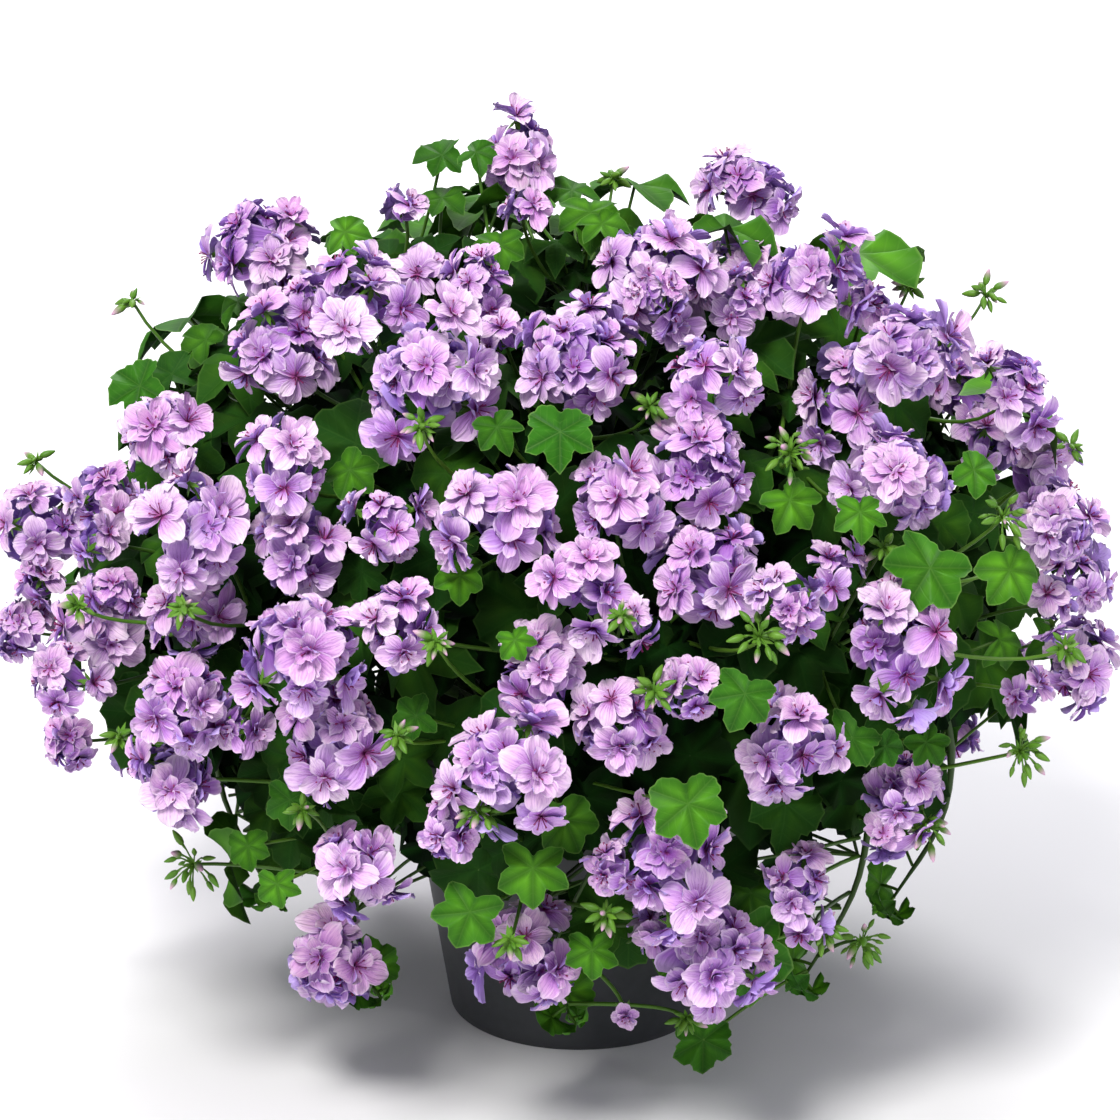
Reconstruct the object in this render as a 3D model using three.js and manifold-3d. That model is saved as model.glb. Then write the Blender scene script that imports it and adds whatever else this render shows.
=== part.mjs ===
// A potted ivy geranium: a plain round pot filled with compost, leafy stems that arch out over its rim and
// trail, a crown stem in the middle, and lilac double flower heads that stand on stalks over the leaves.
// Millimetres, +Z up, origin at the middle of the pot's foot, front towards -Y.
import * as THREE from "three";
import { mergeVertices } from "three/addons/utils/BufferGeometryUtils.js";
import Module from "manifold-3d";

const wasm = await Module();
wasm.setup();

const V = (x, y, z) => new THREE.Vector3(x, y, z);
const UP = V(0, 0, 1);
const DEGREE = Math.PI / 180;
const TURN = 2 * Math.PI;

// Driving dimensions.
const POT = { foot: 82, rim: 112, height: 185, wall: 3, floor: 4, collar: 20, collarOut: 4, sides: 24 };
const DRAIN = { count: 6, radius: 5, ring: 48 };
const SOIL = { top: 168, gap: 0.4, lump: 2.2 };
// The least space between two nodes.
const GAP = 0.3;
// The rounded mound that the flower heads stand on: its middle, then half its width, depth and height.
const MOUND = { middle: V(-9, 0, 275), half: V(325, 285, 259) };
// The picture that heads, leaves and buds are placed by: seen from the front and a little above, in pixels.
const VIEW = { tilt: 18 * DEGREE, distance: 2400, aim: V(-12, 0, 295), middlePixel: 560, mmPerPixel: 0.62 };
const TO_VIEWER = V(0, -Math.cos(VIEW.tilt), Math.sin(VIEW.tilt));
// Leafy stems stand in a ring, each with its own sector of the plant. The crown stem has the middle column.
const SECTORS = 8;
const SECTOR_ANGLE = TURN / SECTORS;
const FIRST_SECTOR = -90 * DEGREE - SECTOR_ANGLE / 2;
const COLUMN = { narrow: 29, wide: 81, from: 255, to: 315 };
const STEM = {
  root: 5.4, play: 1.4, side: 4.2, tip: 3, sides: 4, ring: 56, foot: 130, hint: V(0.31, 0.22, 0.93),
};
const STALK = {
  radius: 1.5, sides: 3, gap: 0.35, least: 60, apart: 6, shares: [0.14, 0.28, 0.42, 0.56, 0.7, 0.84],
};
const LEAF = {
  thick: 0.8, petiole: 1.2, stalk: 30, count: 74, least: 33, most: 44,
  layers: [0.92, 0.8, 0.99, 0.86], tuck: 0.95, wave: 0.07, spacing: 0.3, clear: 3,
};
// The lobes of an ivy leaf: degrees from its middle lobe, reach and rise as shares of its radius.
const LOBES = [[0, 1, 0.05], [31, 0.76, 0.16], [60, 0.98, 0.03], [92, 0.7, 0.15], [126, 0.84, 0.02]];
const SINUS = [180, 0.5, 0.1];
const HEAD = {
  swell: 1.06, core: 0.36, floretOut: 0.8, small: 17, large: 39, tipAside: 37 * DEGREE,
  reach: { one: 0.85, four: 0.575, six: 0.5 },
};
const PETAL = { count: 5, dimple: -0.28, notch: 0.83, notchHeight: -0.13, low: 0.06, lift: 0.05 };
// Heads nearer than this share of their summed radii give way to each other in depth.
const CROWD = { ratio: 0.9, rounds: 40, step: 0.01, least: 0.82, most: 1.14 };
const BACK = { heads: 16, least: 30, most: 41, behind: 0.42, low: -0.78 };
const BUD = { heart: 0.4, length: 1.5, stalk: 1.2 };
// How many flower nodes there are at most, and by how much petals may grow to meet their neighbours'.
const BLOOMS = 49;
const SWELLS = [1, 1.04, 1.08, 1.12, 1.16, 1.2, 1.24];

// Flower heads as seen from the front: pixel across, pixel down, radius in pixels, how far out they stand.
const SEEN_HEADS = [
  // along the top
  [522, 158, 44, 1], [746, 190, 46, 1], [262, 252, 60, 1], [405, 212, 20, 1], [478, 286, 38, 1],
  [656, 276, 64, 1], [742, 283, 52, 0.87], [812, 285, 54, 1.05], [868, 306, 26, 0.98],
  // upper left and middle
  [360, 308, 55, 1.04], [283, 352, 52, 0.94], [425, 384, 68, 1.03], [580, 362, 64, 1],
  [712, 371, 46, 1.06],
  // upper right
  [904, 360, 54, 1.08], [845, 402, 46, 0.9], [960, 402, 38, 0.86], [1012, 393, 44, 1.05],
  [895, 480, 58, 1.02], [984, 446, 30, 0.9], [1036, 474, 42, 0.93], [1055, 532, 44, 1.06],
  [1072, 577, 36, 0.96],
  // left
  [163, 437, 46, 1], [108, 500, 40, 0.95], [44, 534, 50, 1], [200, 530, 56, 1.06], [287, 470, 42, 1],
  [302, 548, 48, 0.98], [385, 525, 38, 1], [196, 612, 46, 0.92], [98, 630, 48, 1], [24, 630, 36, 0.95],
  [66, 684, 34, 1.03], [70, 742, 28, 1], [186, 702, 54, 1.02], [182, 782, 50, 1],
  // middle
  [497, 520, 50, 1.02], [615, 494, 50, 1], [700, 468, 54, 0.96], [590, 590, 48, 1.04],
  [714, 575, 60, 0.97], [794, 607, 38, 1.06], [834, 568, 26, 1], [402, 626, 42, 1],
  [300, 650, 58, 1.07], [328, 732, 56, 0.98], [542, 678, 52, 0.98], [624, 722, 44, 0.97],
  [690, 690, 32, 1.04], [508, 767, 62, 1.05], [450, 826, 32, 1.04],
  // right and below
  [897, 650, 64, 1.02], [1074, 668, 44, 1], [790, 746, 50, 1.02], [906, 790, 44, 0.97],
  [360, 862, 44, 1], [338, 965, 52, 1], [530, 955, 54, 1], [664, 856, 60, 1], [700, 945, 66, 1.04],
  [796, 878, 34, 0.97],
];
// Leaves that show whole from the front: pixel across, pixel down, radius in pixels, how far out, and the
// direction that the middle lobe points in on the picture, in degrees from straight down.
const SEEN_LEAVES = [
  [688, 804, 42, 1.13, 10], [533, 868, 40, 1.08, 0], [470, 912, 38, 1.1, -20], [703, 1040, 33, 1.08, 0],
  [277, 884, 25, 1.06, 10], [930, 568, 48, 0.99, -30], [1010, 570, 36, 1.02, 20],
  [860, 512, 30, 1.06, 0], [745, 694, 36, 0.97, -20], [974, 470, 26, 1.08, 60], [497, 427, 28, 1, 20],
  [590, 212, 36, 0.96, 0], [442, 155, 28, 1.02, -70], [476, 152, 24, 1.0, 60], [345, 232, 26, 1, 80],
  [140, 386, 34, 1, -60], [515, 640, 22, 0.98, 20], [460, 575, 28, 0.96, 0], [566, 820, 34, 0.96, 20],
  [592, 950, 30, 1, 0], [416, 716, 26, 0.97, -70], [885, 746, 22, 1, 20], [926, 742, 26, 1.02, 30],
  [852, 738, 34, 0.9, -30], [248, 846, 24, 0.96, 10], [290, 800, 30, 0.95, 0], [350, 470, 30, 0.95, 40],
  [560, 432, 38, 0.93, 0], [790, 500, 34, 0.98, 30], [500, 245, 30, 0.98, 0],
];
// Clusters of green buds: pixel across, pixel down, radius in pixels, how far out.
const SEEN_BUDS = [
  [613, 172, 15, 1], [912, 281, 15, 1], [990, 288, 20, 1.02], [1075, 442, 16, 1.02],
  [793, 446, 26, 1.06], [1008, 512, 26, 1.1], [420, 422, 20, 1.13], [186, 866, 28, 1.02],
  [478, 812, 22, 1.13], [762, 634, 26, 1.13], [655, 690, 20, 1.1], [1070, 645, 20, 1.13],
  [1028, 750, 26, 1.04], [932, 826, 24, 1.04], [868, 946, 26, 1.04], [826, 932, 20, 1.06],
  [688, 1022, 16, 1.06],
];

// A seeded draw of even numbers from 0 to 1.
function draws(seed) {
  let state = seed >>> 0;
  return () => {
    state = (Math.imul(state, 1664525) + 1013904223) >>> 0;
    return state / 4294967296;
  };
}

// Solids.

function toSolid(geometry) {
  const bare = new THREE.BufferGeometry();
  bare.setAttribute("position", geometry.getAttribute("position"));
  if (geometry.index) bare.setIndex(geometry.index);
  const merged = mergeVertices(bare, 1e-4);
  const corners = merged.index.array;
  const kept = [];
  for (let i = 0; i < corners.length; i += 3) {
    const [a, b, c] = corners.slice(i, i + 3);
    if (a !== b && b !== c && c !== a) kept.push(a, b, c);
  }
  return new wasm.Manifold(
    new wasm.Mesh({
      numProp: 3,
      vertProperties: new Float32Array(merged.attributes.position.array),
      triVerts: new Uint32Array(kept),
    }),
  );
}

function toMesh(name, solid, material) {
  const made = solid.getMesh();
  const positions = new Float32Array(made.numVert * 3);
  for (let i = 0; i < made.numVert; i++) {
    positions.set(made.vertProperties.subarray(i * made.numProp, i * made.numProp + 3), i * 3);
  }
  const geometry = new THREE.BufferGeometry();
  geometry.setAttribute("position", new THREE.BufferAttribute(positions, 3));
  geometry.setIndex(new THREE.BufferAttribute(new Uint32Array(made.triVerts), 1));
  geometry.computeVertexNormals();
  const mesh = new THREE.Mesh(geometry, material);
  mesh.name = name;
  return mesh;
}

// A closed geometry from points and triangles.
function shell(points, triangles) {
  const geometry = new THREE.BufferGeometry();
  geometry.setAttribute("position", new THREE.Float32BufferAttribute(points.flatMap((p) => p.toArray()), 3));
  geometry.setIndex(triangles.flat());
  return geometry;
}

// Two directions square to an axis. The first is the given hint, made square.
function frameFor(axis, hint) {
  const along = hint.clone().addScaledVector(axis, -hint.dot(axis));
  if (along.lengthSq() < 1e-6) along.copy(V(1, 0, 0)).addScaledVector(axis, -axis.x);
  along.normalize();
  return { along, across: new THREE.Vector3().crossVectors(axis, along) };
}

// A flat-sided stem through a row of points, thinner towards its end, cut square to the end's axis.
function rod(points, startRadius, endRadius, sides, endAxis) {
  const rings = [];
  points.forEach((point, i) => {
    const before = points[Math.max(i - 1, 0)];
    const after = points[Math.min(i + 1, points.length - 1)];
    const axis = i === points.length - 1 && endAxis ? endAxis : after.clone().sub(before).normalize();
    const { along, across } = frameFor(axis, STEM.hint);
    const radius = startRadius + ((endRadius - startRadius) * i) / (points.length - 1);
    for (let s = 0; s < sides; s++) {
      const angle = (TURN * s) / sides;
      rings.push(
        point.clone()
          .addScaledVector(along, radius * Math.cos(angle))
          .addScaledVector(across, radius * Math.sin(angle)),
      );
    }
  });
  const triangles = [];
  for (let i = 0; i + 1 < points.length; i++) {
    for (let s = 0; s < sides; s++) {
      const a = i * sides + s;
      const b = i * sides + ((s + 1) % sides);
      triangles.push([a, b, b + sides], [a, b + sides, a + sides]);
    }
  }
  const last = (points.length - 1) * sides;
  for (let s = 1; s + 1 < sides; s++) {
    triangles.push([0, s + 1, s], [last, last + s, last + s + 1]);
  }
  return toSolid(shell(rings, triangles));
}

// Layout: places and directions only.

function sightLine(px, py) {
  const right = (px - VIEW.middlePixel) * VIEW.mmPerPixel;
  const up = (VIEW.middlePixel - py) * VIEW.mmPerPixel;
  const c = Math.cos(VIEW.tilt);
  const s = Math.sin(VIEW.tilt);
  const eye = VIEW.aim.clone().add(V(0, -c * VIEW.distance, s * VIEW.distance));
  return { eye, way: V(right, c * VIEW.distance + s * up, -s * VIEW.distance + c * up) };
}

// The place on the mound that shows at a pixel, and the millimetres that a pixel covers there.
function seenAt(px, py, out) {
  const { eye, way } = sightLine(px, py);
  const o = eye.clone().sub(MOUND.middle).divide(MOUND.half);
  const d = way.clone().divide(MOUND.half);
  const a = d.dot(d);
  const b = o.dot(d);
  const inside = b * b - a * (o.dot(o) - out * out);
  const t = (-b - Math.sqrt(Math.max(inside, 0))) / a;
  return { point: eye.addScaledVector(way, t), scale: VIEW.mmPerPixel * t };
}

function outward(point) {
  return point.clone().sub(MOUND.middle).divide(MOUND.half).divide(MOUND.half).normalize();
}

function mix(...parts) {
  const sum = V(0, 0, 0);
  parts.forEach(([share, way]) => sum.addScaledVector(way, share));
  return sum.normalize();
}

// A head, and the place under its heart where its stalk ends. The heart of a large head rests on a face;
// that of a small one on a corner or on a face, by turns.
function headAt(point, radius, facing, index) {
  const kind = radius < HEAD.small ? "one" : radius < HEAD.large ? "four" : "six";
  const onCorner = kind === "four" && index % 2 === 1;
  const depth = kind === "six" ? 0.795 : onCorner ? 1 : 0.577;
  const base = point.clone().addScaledVector(facing, -depth * HEAD.core * radius - STALK.gap);
  return { point, radius, facing, base, kind, onCorner, index };
}

function seenHead([px, py, size, out], index) {
  const { point, scale } = seenAt(px, py, out);
  const facing = mix([0.6, outward(point)], [0.35, TO_VIEWER], [0.25, UP]);
  return headAt(point, size * scale * HEAD.swell, facing, index);
}

// Heads that crowd one another give way in depth, so that they stay where they show in the picture.
function placeSeenHeads() {
  const rows = SEEN_HEADS.map((row) => [...row]);
  const heads = rows.map(seenHead);
  for (let round = 0; round < CROWD.rounds; round++) {
    for (let i = 0; i < heads.length; i++) {
      for (let j = i + 1; j < heads.length; j++) {
        const apart = heads[i].point.distanceTo(heads[j].point) / (heads[i].radius + heads[j].radius);
        if (apart >= CROWD.ratio) continue;
        const [front, back] = rows[i][3] >= rows[j][3] ? [i, j] : [j, i];
        rows[front][3] = Math.min(rows[front][3] + CROWD.step, CROWD.most);
        rows[back][3] = Math.max(rows[back][3] - CROWD.step, CROWD.least);
        heads[front] = seenHead(rows[front], front);
        heads[back] = seenHead(rows[back], back);
      }
    }
  }
  return heads;
}

// The k-th of a row of directions that stays evenly spread however many are taken.
function evenDirection(k) {
  const z = 1 - 2 * ((0.5 + k * 0.7548776662466927) % 1);
  const angle = TURN * ((0.5 + k * 0.5698402909980532) % 1);
  const flat = Math.sqrt(1 - z * z);
  return V(flat * Math.cos(angle), flat * Math.sin(angle), z);
}

function onMound(way, out) {
  return way.clone().multiply(MOUND.half).multiplyScalar(out).add(MOUND.middle);
}

// The back of the plant isn't seen, so its heads are placed by an even rule.
function addBackHeads(heads) {
  const draw = draws(7);
  for (let k = 0, made = 0; made < BACK.heads && k < 600; k++) {
    const way = evenDirection(k);
    const radius = BACK.least + (BACK.most - BACK.least) * draw();
    const point = onMound(way, 0.97 + 0.06 * draw());
    const behind = -way.dot(TO_VIEWER) > BACK.behind && way.z > BACK.low;
    const free = heads.every((head) => head.point.distanceTo(point) > CROWD.ratio * (head.radius + radius));
    if (!behind || !free) continue;
    heads.push(headAt(point, radius, mix([0.75, outward(point)], [0.35, UP]), heads.length));
    made++;
  }
}

// The sector of a place round the pot, counted anticlockwise from the front, or -1 in the crown's column.
function sectorOf(point) {
  const share = Math.min(Math.max((point.z - COLUMN.from) / (COLUMN.to - COLUMN.from), 0), 1);
  if (Math.hypot(point.x, point.y) < COLUMN.narrow + (COLUMN.wide - COLUMN.narrow) * share) return -1;
  const angle = (Math.atan2(point.y, point.x) - FIRST_SECTOR + 2 * TURN) % TURN;
  return Math.floor(angle / SECTOR_ANGLE) % SECTORS;
}

// The branches of the crown stem: the middle one rises straight, the others leave it to the left and right.
function crownBranches() {
  const top = MOUND.middle.z + MOUND.half.z;
  const left = V(-6, 4, 300);
  const right = V(-2, -3, 355);
  const foot = V(0, 0, STEM.foot);
  const collar = V(0, 0, SOIL.top + 12);
  return [
    [foot, collar, V(2, 0, 235), left, right, V(4, 2, top - 100), V(0, 0, top - 45)],
    [left, V(-24, 12, 350), V(-40, 16, 400), V(-48, 20, top - 85)],
    [right, V(20, -14, 385), V(40, -22, 420), V(50, -24, top - 80)],
  ];
}

// The branches of a leafy stem: one climbs, one goes out, one trails down beside the pot.
function leafyBranches(sector) {
  const middle = FIRST_SECTOR + (sector + 0.5) * SECTOR_ANGLE;
  const wide = 1 / Math.hypot(Math.cos(middle) / MOUND.half.x, Math.sin(middle) / MOUND.half.y);
  const side = sector % 2 ? 1 : -1;
  const at = (reach, z, aside) => {
    const angle = middle + side * aside * DEGREE;
    return V(reach * Math.cos(angle), reach * Math.sin(angle), z);
  };
  const foot = at(STEM.ring, STEM.foot, 0);
  const collar = at(STEM.ring, SOIL.top + 12, 0);
  const climbing = [at(82, 255, 0), at(0.39 * wide, 338, 2), at(0.5 * wide, 400, 4), at(0.52 * wide, 436, 6)];
  const rising = [at(92, 243, -5), at(0.5 * wide, 304, -8)];
  const reaching = [...rising, at(0.68 * wide, 320, -10), at(0.8 * wide, 298, -9)];
  const over = [at(96, 226, 6), at(0.52 * wide, 254, 9)];
  const trailing = [...over, at(0.69 * wide, 218, 9), at(0.71 * wide, 140, 6), at(0.6 * wide, 62, 2)];
  return [[foot, collar, ...climbing], [collar, ...reaching], [collar, ...trailing]];
}

// A bent stalk that comes up behind what it carries, from the best place on a stem's branches: near, but not
// closer than it needs to be, away from the roots of other stalks, and with no flower head in the way.
function stalkFor(to, facing, least, plant, steps) {
  const near = plant.heads.filter((head) => {
    const away = head.point.distanceTo(to);
    return away > head.radius && away < 160;
  });
  let best = null;
  const offer = (from) => {
    const away = from.distanceTo(to);
    const bend = to.clone().addScaledVector(facing, -0.42 * away);
    const stalk = new THREE.QuadraticBezierCurve3(from, bend, to).getPoints(steps);
    const tested = [...stalk.slice(0, -1), ...stalk.slice(1).map((p, k) => p.clone().lerp(stalk[k], 0.5))];
    const hits = near.filter((head) => tested.some((p) => p.distanceTo(head.point) < 0.95 * head.radius + 2));
    const close = plant.roots.filter((root) => root.distanceTo(from) < STALK.apart);
    const needless = 3 * Math.max(least - away, 0) + 0.3 * Math.max(from.z - to.z, 0);
    const cost = away + needless + 150 * hits.length + 50 * close.length;
    if (!best || cost < best.cost) best = { stalk, cost };
  };
  plant.stems[sectorOf(to) + 1].forEach((branch) => {
    for (let i = 1; i + 1 < branch.length; i++) {
      const { along, across } = frameFor(branch[i + 1].clone().sub(branch[i]).normalize(), STEM.hint);
      STALK.shares.forEach((share) => {
        const place = branch[i].clone().lerp(branch[i + 1], share);
        const lean = to.clone().sub(place);
        place.addScaledVector(along, 0.35 * STEM.tip * Math.sign(lean.dot(along)));
        place.addScaledVector(across, 0.35 * STEM.tip * Math.sign(lean.dot(across)));
        offer(place);
      });
    }
  });
  plant.roots.push(best.stalk[0]);
  return best.stalk;
}

function distanceToDisc(centre, disc) {
  const apart = centre.clone().sub(disc.point);
  const over = apart.dot(disc.normal);
  const beside = Math.sqrt(Math.max(apart.lengthSq() - over * over, 0));
  return Math.hypot(over, Math.max(beside - disc.radius, 0));
}

// Whether one leaf lies wholly on one side of the other's plane, with room for the waves of both.
function liesBeside(leaf, other) {
  const over = Math.abs(leaf.point.clone().sub(other.point).dot(other.normal));
  const lean = Math.sqrt(Math.max(1 - leaf.normal.dot(other.normal) ** 2, 0));
  return over > leaf.radius * lean + LEAF.wave * (leaf.radius + other.radius);
}

function leavesApart(a, b) {
  const apart = a.point.distanceTo(b.point);
  if (apart > a.radius + b.radius + 1) return true;
  return apart > LEAF.spacing * (a.radius + b.radius) && (liesBeside(a, b) || liesBeside(b, a));
}

// Whether a stalk, given as a row of points, passes through a leaf.
function pierces(row, leaf) {
  return row.slice(1).some((end, i) => {
    const start = row[i];
    const from = start.clone().sub(leaf.point).dot(leaf.normal);
    const to = end.clone().sub(leaf.point).dot(leaf.normal);
    const near = Math.min(Math.abs(from), Math.abs(to)) < LEAF.clear;
    if (from * to > 0 && !near) return false;
    const share = near ? Number(Math.abs(to) < Math.abs(from)) : from / (from - to);
    return start.clone().lerp(end, share).distanceTo(leaf.point) < leaf.radius + LEAF.clear;
  });
}

// A leaf is left out where it would meet a head, buds, a stalk, another leaf, the pot or the ground.
function leafFits(leaf, plant) {
  const { point, radius, normal, stalk } = leaf;
  const low = point.z - radius * Math.sqrt(1 - normal.z * normal.z);
  if (low < 4) return false;
  if (low < POT.height + 8 && Math.hypot(point.x, point.y) < POT.rim + radius + 8) return false;
  const balls = [...plant.heads, ...plant.buds];
  return (
    balls.every((ball) => distanceToDisc(ball.point, leaf) > LEAF.tuck * ball.radius) &&
    balls.every((ball) => stalk[0].distanceTo(ball.point) > 0.9 * ball.radius + 2) &&
    plant.leaves.every((other) => leavesApart(leaf, other) && !pierces(stalk, other)) &&
    plant.stalks.every((other) => !pierces(other, leaf))
  );
}

function tryLeaf(point, radius, normal, down, plant) {
  const roots = [...plant.roots];
  const stalk = stalkFor(point, normal, LEAF.stalk, plant, 1);
  const leaf = { point, radius, normal, down, stalk, sector: sectorOf(point) };
  if (!leafFits(leaf, plant)) {
    plant.roots = roots;
    return false;
  }
  plant.leaves.push(leaf);
  plant.stalks.push(stalk);
  return true;
}

// The leaves that show from the front come first, each as far out as it must be to fit.
function addSeenLeaves(plant) {
  SEEN_LEAVES.forEach(([px, py, size, out, turned]) => {
    const down = V(Math.sin(turned * DEGREE), 0, -Math.cos(turned * DEGREE));
    [0, 1, 2, 3, 4, 5, 6].some((step) => {
      const { point, scale } = seenAt(px, py, out + 0.03 * step);
      const normal = mix([0.35, outward(point)], [0.65, TO_VIEWER], [0.3, UP]);
      return tryLeaf(point, size * scale, normal, down, plant);
    });
  });
}

// The others follow an even rule in the layers of the mound, most of them at its back.
function addInnerLeaves(plant) {
  const draw = draws(3);
  for (let k = 0; plant.leaves.length < LEAF.count && k < 4000; k++) {
    const way = evenDirection(k);
    const point = onMound(way, LEAF.layers[k % LEAF.layers.length]);
    const radius = LEAF.least + (LEAF.most - LEAF.least) * draw();
    const stray = V(draw() - 0.5, draw() - 0.5, draw() - 0.5);
    const normal = mix([0.7, outward(point)], [0.5, UP], [0.5, stray]);
    const down = mix([1, outward(point)], [-0.8, UP], [0.6, V(draw() - 0.5, draw() - 0.5, 0)]);
    if (way.z > -0.9 && (way.y > -0.1 || k % 3 === 0)) tryLeaf(point, radius, normal, down, plant);
  }
}

// The whole plant as places and directions.
function layOut() {
  const stems = [crownBranches(), ...Array.from({ length: SECTORS }, (_, i) => leafyBranches(i))];
  const plant = { stems, heads: placeSeenHeads(), buds: [], leaves: [], roots: [] };
  addBackHeads(plant.heads);
  plant.heads.forEach((head) => {
    head.sector = sectorOf(head.base);
    head.stalk = stalkFor(head.base, head.facing, STALK.least, plant, 2);
  });
  SEEN_BUDS.forEach(([px, py, size, out]) => {
    const { point, scale } = seenAt(px, py, out);
    const facing = mix([0.6, outward(point)], [0.3, TO_VIEWER], [0.4, UP]);
    const stalk = stalkFor(point, facing, STALK.least, plant, 2);
    plant.buds.push({ point, radius: size * scale, facing, stalk, sector: sectorOf(point) });
  });
  plant.stalks = [...stems.flat(), ...[...plant.heads, ...plant.buds].map((ball) => ball.stalk)];
  addSeenLeaves(plant);
  addInnerLeaves(plant);
  return plant;
}

// Shapes of the pieces.

// The flat faces of a regular solid about the origin, each a row of corners anticlockwise from outside.
function facesOf(geometry) {
  const corners = geometry.getAttribute("position");
  const faces = [];
  for (let i = 0; i < corners.count; i += 3) {
    const [a, b, c] = [0, 1, 2].map((k) => new THREE.Vector3().fromBufferAttribute(corners, i + k));
    const normal = b.clone().sub(a).cross(c.clone().sub(a)).normalize();
    let face = faces.find((other) => other.normal.dot(normal) > 0.999);
    if (!face) faces.push((face = { normal, corners: [] }));
    [a, b, c].forEach((p) => {
      if (face.corners.every((q) => q.distanceTo(p) > 1e-3)) face.corners.push(p);
    });
  }
  faces.forEach((face) => {
    const { along, across } = frameFor(face.normal, face.corners[0]);
    const angle = (p) => (Math.atan2(p.dot(across), p.dot(along)) + TURN + 1e-6) % TURN;
    face.corners.sort((p, q) => angle(p) - angle(q));
  });
  return faces;
}

// The heart of a head is a regular solid, and a floret grows from each of its upper faces.
const HEARTS = {
  six: { faces: facesOf(new THREE.DodecahedronGeometry(1, 0)), florets: 6 },
  four: { faces: facesOf(new THREE.OctahedronGeometry(1, 0)), florets: 4 },
};

// Triangles that join two rings of corners round one axis, both numbered anticlockwise from above.
function band(lower, upper) {
  const triangles = [];
  let i = 0;
  let j = 0;
  while (i < lower.length || j < upper.length) {
    const a = lower[i % lower.length];
    const b = upper[j % upper.length];
    if (i / lower.length <= j / upper.length) {
      triangles.push([a, lower[(i + 1) % lower.length], b]);
      i++;
    } else {
      triangles.push([a, upper[(j + 1) % upper.length], b]);
      j++;
    }
  }
  return triangles;
}

// A floret: five petals, each ridged along its middle, round a dimple. Returns its points and its triangles,
// numbered from a first number on, and joins them to the ring of corners that the floret grows from.
function floret(place, way, hint, radius, root, first, seed) {
  const { along, across } = frameFor(way, hint);
  const at = (reach, angle, height) =>
    place.clone()
      .addScaledVector(along, radius * reach * Math.cos(angle))
      .addScaledVector(across, radius * reach * Math.sin(angle))
      .addScaledVector(way, radius * height);
  const points = [at(0, 0, PETAL.dimple)];
  const notches = [];
  const triangles = [];
  for (let i = 0; i < PETAL.count; i++) {
    const angle = (TURN * i) / PETAL.count;
    const half = Math.PI / PETAL.count;
    points.push(at(PETAL.notch, angle, PETAL.notchHeight));
    points.push(at(1, angle + half, PETAL.low + PETAL.lift * (1 + Math.sin(2.4 * i + seed))));
    notches.push(first + 1 + 2 * i);
  }
  notches.forEach((notch, i) => {
    const next = notches[(i + 1) % notches.length];
    triangles.push([first, notch, notch + 1], [first, notch + 1, next], [notch, next, notch + 1]);
  });
  return { points, triangles: [...triangles, ...band(root, notches)] };
}

// Turns a head about its axis until the petals of its side florets point at its neighbour.
function spinTo(head, way) {
  const aside = (p) => p.clone().projectOnPlane(head.facing).normalize();
  const from = aside(way).applyAxisAngle(head.facing, head.onCorner ? 0 : HEAD.tipAside);
  const to = aside(head.neighbour.point.clone().sub(head.point));
  const angle = Math.atan2(new THREE.Vector3().crossVectors(from, to).dot(head.facing), from.dot(to));
  return new THREE.Quaternion().setFromAxisAngle(head.facing, angle);
}

function headSolid(head, swell = 1) {
  const heart = head.kind === "six" ? HEARTS.six : HEARTS.four;
  const rest = head.onCorner ? UP : heart.faces[0].normal;
  const swing = new THREE.Quaternion().setFromUnitVectors(rest, head.facing);
  const points = [];
  const triangles = [];
  const numberOf = (corner) => {
    const place = corner.clone().multiplyScalar(HEAD.core * head.radius);
    place.applyQuaternion(swing).add(head.point);
    const known = points.findIndex((q) => q.distanceTo(place) < 1e-3);
    return known < 0 ? points.push(place) - 1 : known;
  };
  const upmost = heart.faces.map((face) => face.normal.clone().applyQuaternion(swing));
  upmost.sort((a, b) => b.dot(head.facing) - a.dot(head.facing));
  swing.premultiply(spinTo(head, upmost[head.onCorner ? 0 : 1]));
  const faces = heart.faces.map((face) => ({
    way: face.normal.clone().applyQuaternion(swing),
    numbers: face.corners.map(numberOf),
  }));
  faces.sort((a, b) => b.way.dot(head.facing) - a.way.dot(head.facing));
  const reach = swell * head.radius * HEAD.reach[head.kind];
  faces.forEach(({ way, numbers }, i) => {
    if (i < (head.kind === "one" ? 1 : heart.florets)) {
      const place = head.point.clone().addScaledVector(way, swell * head.radius * HEAD.floretOut);
      const hint = points[numbers[0]].clone().sub(head.point);
      const made = floret(place, way, hint, reach, numbers, points.length, head.index + i);
      points.push(...made.points);
      triangles.push(...made.triangles);
      return;
    }
    for (let k = 1; k + 1 < numbers.length; k++) triangles.push([numbers[0], numbers[k], numbers[k + 1]]);
  });
  return toSolid(shell(points, triangles));
}

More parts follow.
